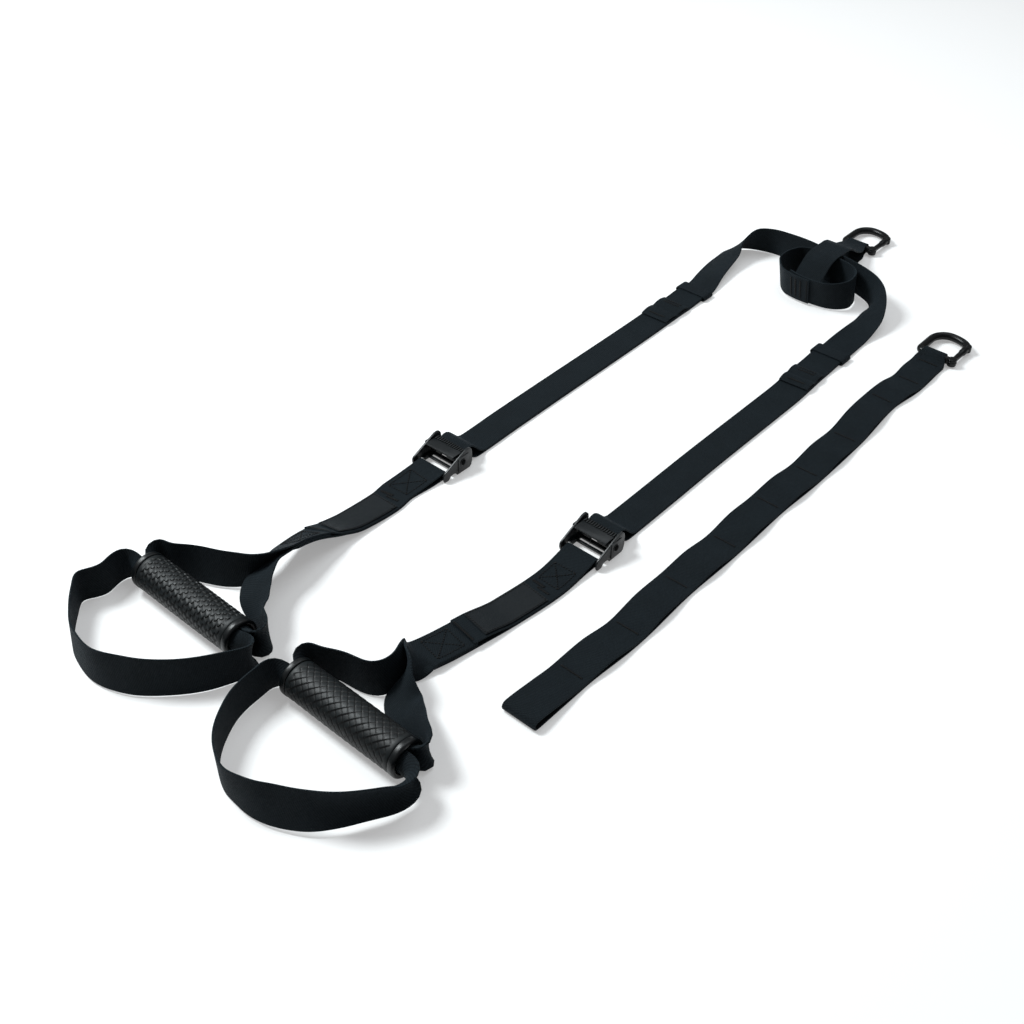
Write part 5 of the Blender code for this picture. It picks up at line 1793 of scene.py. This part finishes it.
    # Inner edge of an end ring, in rims: along and down from its surface
    CHAMFER = ((0, 0.25), (0.1, 0.07), (0.25, 0))

    @property
    def seat_radius(self) -> float:
        """From the grip's axis to what sits on the tube."""
        return self.bore / 2 + self.tube_wall + WEB.gap

    @property
    def curl_radius(self) -> float:
        """Radius that the straps curl to inside the tube."""
        return self.bore / 2 - self.clearance - WEB.half

    @property
    def centre(self) -> Vector:
        """Middle of the grip's axis.

        Returns:
            The point.
        """
        across, along = self.PLACE[self.side.value]
        y = BUCKLE.front_y - LAYOUT.link - LAYOUT.hand_drop
        return Vector((across * LAYOUT.grip_spacing, y + along * LAYOUT.grip_spacing, self.diameter / 2))

    def spine(self) -> list[tuple[Vector, Vector, Vector]]:
        """Centres of the link's lower layer, with width and upward directions.

        Returns:
            One set for each station.
        """
        x = LAYOUT.leg_x(self.side)
        rows = []
        for along, across, height, tilt in self.LINK[self.side.value]:
            place = (x + across * LAYOUT.link, BUCKLE.front_y - along * LAYOUT.link,
                     WEB.half + height * WEB.width)
            rows.append((Vector(place), tilt))
        spine = []
        for i, (point, tilt) in enumerate(rows):
            run = (rows[min(i + 1, len(rows) - 1)][0] - rows[max(i - 1, 0)][0]).normalized()
            level = run.cross(UP).normalized()
            level = -level if level.x < 0 else level
            width = level * math.cos(tilt) + UP * math.sin(tilt)
            spine.append((point, width, width.cross(-run).normalized()))
        return spine

    def link(self) -> tuple[list[Row], list[Row]]:
        """The link's lower layer with the turn round the front bar, and its upper layer.

        Returns:
            The stations of each layer.
        """
        spine = self.spine()
        bend = BUCKLE.front_bar / 2 + WEB.gap + WEB.half
        eye = arc((LAYOUT.leg_x(self.side), BUCKLE.front_y, BUCKLE.front_z), bend,
                  -math.pi * 0.5, math.pi * 0.5, 6, ACROSS)
        lower = [station(point, width) for point, width, _ in reversed(spine)]
        upper = []
        for (point, width, up), row in zip(spine, self.LINK[self.side.value]):
            layers = self.ABOVE if row[0] > self.ENDS_FROM else self.BELOW
            upper.append(station(point + up * WEB.layer * layers, width))
        return lower + eye, upper[1:]

    def mouth(self, way: int, face: int, shares: Sequence[Row], inward: int) -> list[Row]:
        """Rows where a strap leaves one end of the tube and opens out of its curl.

        Args:
            way: -1 for the left end, 1 for the right.
            face: the side that it curls to.
            shares: how far out, how far aside and how curled each row is.
            inward: 1 for a strap on the link's side of the tube, -1 for one on the other side.

        Returns:
            Rows about the grip's centre, with their curl.
        """
        across = self.length / 2
        rows = [(way * across, inward * self.curl_radius, 1.0)]
        rows += [(way * (across + out * self.bore), inward * aside * self.bore, curl)
                 for out, aside, curl in shares]
        lift = WEB.half + WEB.width / 2 - self.diameter / 2
        return [(x, y, lift * (1 - curl), curl * face) for x, y, curl in rows]

    def in_tube(self, rows: Sequence[Row], width: Vector) -> list[Row]:
        """Rows of places and curls about the grip's centre as stations with that width direction."""
        curl = WEB.width / self.curl_radius
        return [station(self.centre + Vector(row[:3]), width, row[3] * curl) for row in rows]

    def around(self, table: Sequence[tuple], drop: float, up_sign: int) -> list[Row]:
        """A table of shares about the grip as stations, heights above the floor.

        Args:
            table: rows of across, along, height, width direction and curl.
            drop: the length that along is a share of.
            up_sign: 1 where the strap's width points up, -1 where it points down.

        Returns:
            The stations.
        """
        made, middle = [], self.centre
        for across, along, height, tilt, curl in table:
            place = (middle.x + across * self.length, middle.y + along * drop, WEB.half + height * WEB.width)
            curled = curl * up_sign * WEB.width / self.curl_radius
            made.append(station(place, Vector(tilt) * up_sign, curled))
        return made

    def hand(self) -> list[Row]:
        """From the link down the left leg, through the grip and up the right leg to the link.

        Returns:
            Its stations in order.
        """
        side = self.side.value
        up_sign, face = -side, side
        lower, upper = self.link()
        head = sections_of(lower + upper, step=self.END_STEP)[:self.END_COUNT]
        end = [(one.point, one.width, -one.normal) for one in head]
        run = (end[0][0] - end[1][0]).normalized()
        end.insert(0, (end[0][0] + run * WEB.layer * 2, *end[0][1:]))
        first, last = (1, 2) if side > 0 else (2, 1)
        finish = [station(point + up * WEB.layer * last, width) for point, width, up in end]
        start = [station(point + up * WEB.layer * first, width) for point, width, up in reversed(end)]
        on_edge = UP * up_sign
        left = self.in_tube(self.mouth(-1, face, self.HAND_MOUTHS[side][0], 1), on_edge)
        right = self.in_tube(self.mouth(1, face, self.HAND_MOUTHS[side][1], 1), on_edge)
        down = self.around([(*row, 0) for row in self.LEFT_LEG[side]], LAYOUT.hand_drop, up_sign)
        up = self.around([(*row, 0) for row in self.RIGHT_LEG[side][::-1]], LAYOUT.hand_drop, up_sign)
        return start + down + left[::-1] + right + up + finish

    def foot(self) -> list[Row]:
        """Through the grip to the right and round the front of the handle back to its left end.

        Returns:
            Its stations in order.
        """
        side = self.side.value
        up_sign = face = -side
        on_edge = UP * up_sign
        left = self.in_tube(self.mouth(-1, face, self.FOOT_MOUTHS[side][0], -1), on_edge)
        right = self.in_tube(self.mouth(1, face, self.FOOT_MOUTHS[side][1], -1), on_edge)
        rows = []
        for across, along, tilt, *lifted in self.FOOT[side]:
            curl, height = lifted or (0.0, 0.5)
            rows.append((across, along, height, tilt, curl))
        return left[::-1] + right + self.around(rows, LAYOUT.foot_drop, up_sign)

    def tiles(self, p: float, q: float) -> tuple[float, float]:
        """Height and painted groove shade of the tiled tread.

        Args:
            p: cells down across the rows.
            q: cells along the rows.

        Returns:
            The height from -1 in the grooves to 0 on the crests, and how deep in a groove it is, which sets
            the painted shade.
        """
        fp, fq = p % 1.0, q % 1.0
        line = max(0.0, 1 - min(fq, 1 - fq) / self.TILE_LINE)
        groove = max(0.0, 1 - fp / self.TILE_ROW, line * self.TILE_SHADE)
        height = -self.TILE_SLOPE * (1 - fp) ** self.FALL_OFF - line * self.TILE_SINK
        return max(-1.0, height), groove

    def scales(self, p: float, q: float) -> tuple[float, float]:
        """Height and painted groove shade of the overlapping scales, by the same arguments as the tiles.

        Args:
            p: cells down across the rows.
            q: cells along the rows.

        Returns:
            The height from -1 to 0, and how deep in a groove it is, which sets the painted shade.
        """
        row = math.floor(p)
        across = (q + 0.5 * (row % 2)) % 1.0 - 0.5
        edge, fp = 1 - self.SCALE_BOW * (2 * across) ** 2, p - row
        past = fp - edge if fp > edge else fp + 1 - edge
        if fp <= edge:
            other = (across + 1) % 1.0 - 0.5
            past = fp + self.SCALE_BOW * (2 * other) ** 2
        height = -self.SCALE_SLOPE * max(0.0, 1 - past) ** self.FALL_OFF
        return height, max(0.0, 1 - past / self.SCALE_GROOVE)

    def sleeve(self, rubber: Finish) -> None:
        """Rubber sleeve with its moulded tread and a narrow plain band at each end.

        Args:
            rubber: its material.
        """
        half, outer = self.length / 2 - self.cap - WEB.gap, self.diameter / 2
        cell = math.pi * self.diameter / self.cells_round
        step = cell / self.cell_steps
        count = int((half - self.plain_band) / step)
        line = [(i * step, outer - self.crown * (i * step / half) ** 2) for i in range(-count, count + 1)]
        right = [(half - back, outer - drop) for back, drop in self.SLEEVE_END] + [(half, self.seat_radius)]
        outline = line + right + [(-x, radius) for x, radius in reversed(right)]
        shape = bmesh.new()
        turned(shape, [(x, 0, radius) for x, radius in outline], self.cells_round * self.cell_steps)
        relief: Callable[[float, float], tuple[float, float]] = (
            self.tiles if self.tread is Tread.TILES else self.scales)
        # Painted shade: how deep each vertex lies in a groove, which the rubber's material turns into darker
        # colour
        painted_shade = shape.verts.layers.float.new("tread")
        for vert in shape.verts:
            x, y, z = vert.co
            radius = math.hypot(y, z)
            if radius < outer - self.SKIN or abs(x) > count * step + step / 2:
                continue
            turn = math.atan2(-y, z) / (2 * math.pi) * self.cells_round
            reach = x / cell
            fade = min(1.0, (count * step - abs(x)) / (step * self.FADE_STEPS))
            drop, groove = relief(reach + turn + self.NUDGE, reach - turn + self.NUDGE)
            drop *= self.tread_depth * fade
            vert[painted_shade] = groove * fade
            vert.co.y *= 1 + drop / radius
            vert.co.z *= 1 + drop / radius
        self.on_grip("rubber_sleeve_", "grip_sleeve_", shape, rubber, self.SHARP)

    def on_grip(self, name: str, node: str, shape: Shape, finish: Finish,
                smooth: float = SMOOTH) -> None:
        """Finish a shape turned about the grip's axis and let it stand for a CAD node.

        Args:
            name: the piece's name without its side.
            node: the CAD node's name without its side.
            shape: its bmesh, about the origin.
            finish: its material.
            smooth: the angle above which edges stay sharp.
        """
        bmesh.ops.recalc_face_normals(shape, faces=shape.faces)
        bmesh.ops.translate(shape, verts=shape.verts, vec=self.centre)
        label = self.side.label
        item = finished(name + label, shape, finish, label + "_grip", smooth)
        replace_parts(item, node + label)

    def ring(self, way: int, plastic: Finish) -> None:
        """End ring with its rounded rim and a step that seats on the tube.

        Args:
            way: -1 for the left end, 1 for the right.
            plastic: its material.
        """
        outer, bore = self.diameter / 2, self.bore / 2
        inner, face = self.length / 2 - self.cap, self.length / 2
        rim, seat = (outer - bore) / 2, inner + self.seat
        outline = [(inner, self.seat_radius)]
        outline += [(inner + rim * along, outer - rim * down) for along, down in self.CHAMFER]
        for i in range(self.rim_steps + 1):
            turn = math.pi * (0.5 - i / self.rim_steps)
            outline.append((face - rim + rim * math.cos(turn), outer - rim + rim * math.sin(turn)))
        outline += [(seat, bore), (seat, self.seat_radius)]
        shape = bmesh.new()
        turned(shape, [(x * way, 0, radius) for x, radius in outline], 96)
        end = "left_end_" if way < 0 else "right_end_"
        self.on_grip("end_ring_" + end, "grip_cap_" + end, shape, plastic)

    def patch(self, top: Strap, satin: Finish, seam: Seam) -> None:
        """Bare label patch sewn all round on the link.

        Args:
            top: the layer that it is sewn to.
            satin: its material.
            seam: what collects the stitches.
        """
        start, length = self.PATCH_START * LAYOUT.link, WEB.patch_length
        lift = WEB.half + WEB.gap * 2 + WEB.patch_thickness / 2
        rows = []
        for i in range(self.patch_steps + 1):
            point, run, out = top.spot(start + length * i / self.patch_steps, 0.0, lift)
            rows.append(station(point, out.cross(run), breadth=WEB.patch_width))
        side = self.side.label
        label = Strap("bare_patch_" + side, sections_of(rows, step=0.003), thickness=WEB.patch_thickness)
        share = WEB.patch_width / WEB.width * self.PATCH_SEAM
        height = lift + WEB.patch_thickness / 2
        near, far = start + self.patch_margin, start + length - self.patch_margin
        for across in (-share, share):
            seam.row(top, (near, across), (far, across), height)
        for along in (near, far):
            seam.row(top, (along, -share), (along, share), height)
        item = label.build(satin, "straps", "label")
        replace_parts(item, "label_patch_" + side)

    def build(self, cloth: Finish, satin: Finish, thread: Finish, rubber: Finish, plastic: Finish) -> None:
        """Make every piece of the handle.

        Args:
            cloth: the webbing's material.
            satin: the label patch's material.
            thread: the stitches' material.
            rubber: the sleeve's material.
            plastic: the tube's and the end rings' material.
        """
        label = self.side.label
        self.sleeve(rubber)
        self.ring(-1, plastic)
        self.ring(1, plastic)
        repaint("grip_tube_" + label, plastic)
        lower, upper = self.link()
        top = Strap("top", sections_of([lower[-1]] + upper, step=0.004))
        kept, run, lap = [], 0.0, self.LAP * LAYOUT.link
        for one, other in zip(top.sections, top.sections[1:]):
            run += (other.point - one.point).length
            if run < lap:
                kept.append(other)
        bottom = sections_of(lower, step=0.004)[:-1]
        web = Strap("link_webbing_" + label, bottom + top.sections[:1] + kept)
        covered = [station(point + up * WEB.layer * 2, width) for point, width, up in self.spine()]
        end_piece = Strap("end", sections_of([lower[-1]] + covered[1:], step=0.004))
        seam = Seam("link_stitches_" + label, rise=0.25)
        (near, far), (low, high) = self.BOXES[self.side.value]
        seam.box(top, near, far, 0.34, seam.lift)
        seam.box(end_piece, low, high, 0.36, seam.lift)
        for along, half, depth, shift in self.TACKS:
            seam.tack(top, along, half, seam.lift, depth, shift)
        back, half, depth = self.LAP_TACK
        seam.tack(top, lap - back, half, seam.lift, depth)
        self.patch(top, satin, seam)
        item = web.build(cloth, "straps")
        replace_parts(item, "handle_link_" + label)
        web.length()
        seam.build(thread, "straps")
        for part, rows, closed, ease in (("hand", self.hand(), False, 4), ("foot", self.foot(), True, 3)):
            strap = Strap(part + "_webbing_" + label, sections_of(rows, closed, 0.0035, ease), closed)
            item = strap.build(cloth, "straps")
            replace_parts(item, part + "_strap_" + label)
            strap.length()


# Studio


@dataclass
class Studio:
    """Camera at the photograph's angle, white floor and soft lamps."""

    lens: float = 45.0
    pitch: float = math.radians(40.217)
    heading: Point = (-0.6639, 0.7478, 0.0)
    stand: Point = (0.677, -0.772, 0.8557)
    world: float = 0.25
    floor_size: float = 9.0
    sensor: float = 36.0
    far: float = 50.0

    # Soft boxes: name, place, aim, length of a side, power and tint
    LAMPS = (("side box", (-1.5, -0.65, 2.0), (0, -0.1, 0), 0.8, 78, (0.93, 0.985, 1.0)),
             ("top box", (-0.1, 1.0, 2.3), (0, 0, 0), 1.8, 18, (0.9, 0.96, 1.0)))

    def camera(self) -> None:
        """Place the camera."""
        made = bpy.data.cameras.new("camera")
        made.lens = self.lens
        made.sensor_width = self.sensor
        made.clip_end = self.far
        item = placed("camera", made)
        look = Vector(self.heading) * math.cos(self.pitch) - UP * math.sin(self.pitch)
        item.location = Vector(self.stand) + SHIFT
        item.rotation_euler = look.to_track_quat("-Z", "Y").to_euler()
        bpy.context.scene.camera = item

    def lamp(self, name: str, place: Point, aim: Point, size: float, power: float, tint: Point) -> None:
        """A square soft box.

        Args:
            name: the lamp's name.
            place: where it hangs.
            aim: the point that it faces.
            size: the length of its side.
            power: its power in watts.
            tint: its colour.
        """
        made = bpy.data.lights.new(name, "AREA")
        made.shape = "SQUARE"
        made.size = size
        made.energy = power
        made.color = tint
        item = placed(name, made)
        item.location = place
        item.rotation_euler = (Vector(aim) - Vector(place)).to_track_quat("-Z", "Y").to_euler()

    def build(self) -> None:
        """Make the floor, the world, the lamps and the camera."""
        shape = bmesh.new()
        bmesh.ops.create_grid(shape, x_segments=1, y_segments=1, size=self.floor_size / 2)
        floor = placed("floor", meshed("floor", shape, FloorFinish().make()))
        world = bpy.data.worlds.new("studio")
        bpy.context.scene.world = world
        world.use_nodes = True
        tree = world.node_tree
        back = tree.nodes["Background"]
        path = tree.nodes.new("ShaderNodeLightPath")
        seen = tree.nodes.new("ShaderNodeMath")
        seen.operation = "MAXIMUM"
        tree.links.new(path.outputs["Is Camera Ray"], seen.inputs[0])
        tree.links.new(path.outputs["Is Transmission Ray"], seen.inputs[1])
        level = tree.nodes.new("ShaderNodeMapRange")
        level.inputs["To Min"].default_value = self.world
        level.inputs["To Max"].default_value = 1.0
        tree.links.new(seen.outputs[0], level.inputs["Value"])
        tree.links.new(level.outputs[0], back.inputs["Strength"])
        back.inputs["Color"].default_value = (1, 1, 1, 1)
        for lamp in self.LAMPS:
            self.lamp(*lamp)
        self.camera()
        bpy.context.scene.view_settings.view_transform = "Standard"


def main() -> None:
    """Build the trainer's looks in order."""
    logging.basicConfig(level=logging.INFO, format="%(name)s %(message)s")
    cloth = WebbingFinish("black webbing", (0.001, 0.0021, 0.0029), (0.0088, 0.014, 0.0178)).make()
    satin = WebbingFinish("satin label", (0.0012, 0.0026, 0.0036), (0.0032, 0.006, 0.0082), rib=0.0005,
                          pick=0.0009, roughness=0.55, relief=0.0001, shine=0.2).make()
    thread = ThreadFinish().make()
    # The rubber paints shade into its tread's grooves from the tread attribute
    rubber = MouldedFinish("black rubber", (0.0006, 0.0012, 0.0016), (0.0062, 0.0098, 0.0112), 0.5, 1500,
                           0.00006, specular=0.3, tread="tread").make()
    plastic = MouldedFinish("black plastic", (0.0014, 0.0022, 0.0028), (0.0032, 0.0046, 0.0054), 0.36, 900,
                            0.00003, specular=0.3).make()
    metal = MouldedFinish("black coated metal", (0.0018, 0.003, 0.0038), (0.0044, 0.0066, 0.008), 0.38, 1900,
                          0.00005, specular=0.36).make()
    gloss = MouldedFinish("gloss black coat", (0.0008, 0.0013, 0.0016), (0.002, 0.0027, 0.0032), 0.34, 700,
                          0.00002, specular=0.2).make()
    steel = MouldedFinish("zinc steel", (0.05, 0.05, 0.053), (0.11, 0.11, 0.115), 0.4, 800, 0.00003,
                          metallic=1.0).make()
    # Near-black painted shade for the strip between the lever's teeth and for the buckle pins' heads
    dark = MouldedFinish("painted shade black", (0.0003, 0.0004, 0.0005), (0.0008, 0.001, 0.0012), 0.8, 900, 0.00003,
                         specular=0.05).make()
    Studio().build()
    MainStrap().build(cloth, thread)
    KNOT.build(cloth, thread)
    AnchorStrap().build(cloth, thread)
    Carabiner("main", KNOT.main_bar).build(gloss, steel)
    Carabiner("anchor", KNOT.anchor_bar).build(gloss, steel)
    for side, tread in ((Side.LEFT, Tread.SCALES), (Side.RIGHT, Tread.TILES)):
        CamBuckle(side).build(metal, steel, dark)
        Handle(side, tread).build(cloth, satin, thread, rubber, plastic)


if __name__ == "__main__":
    main()
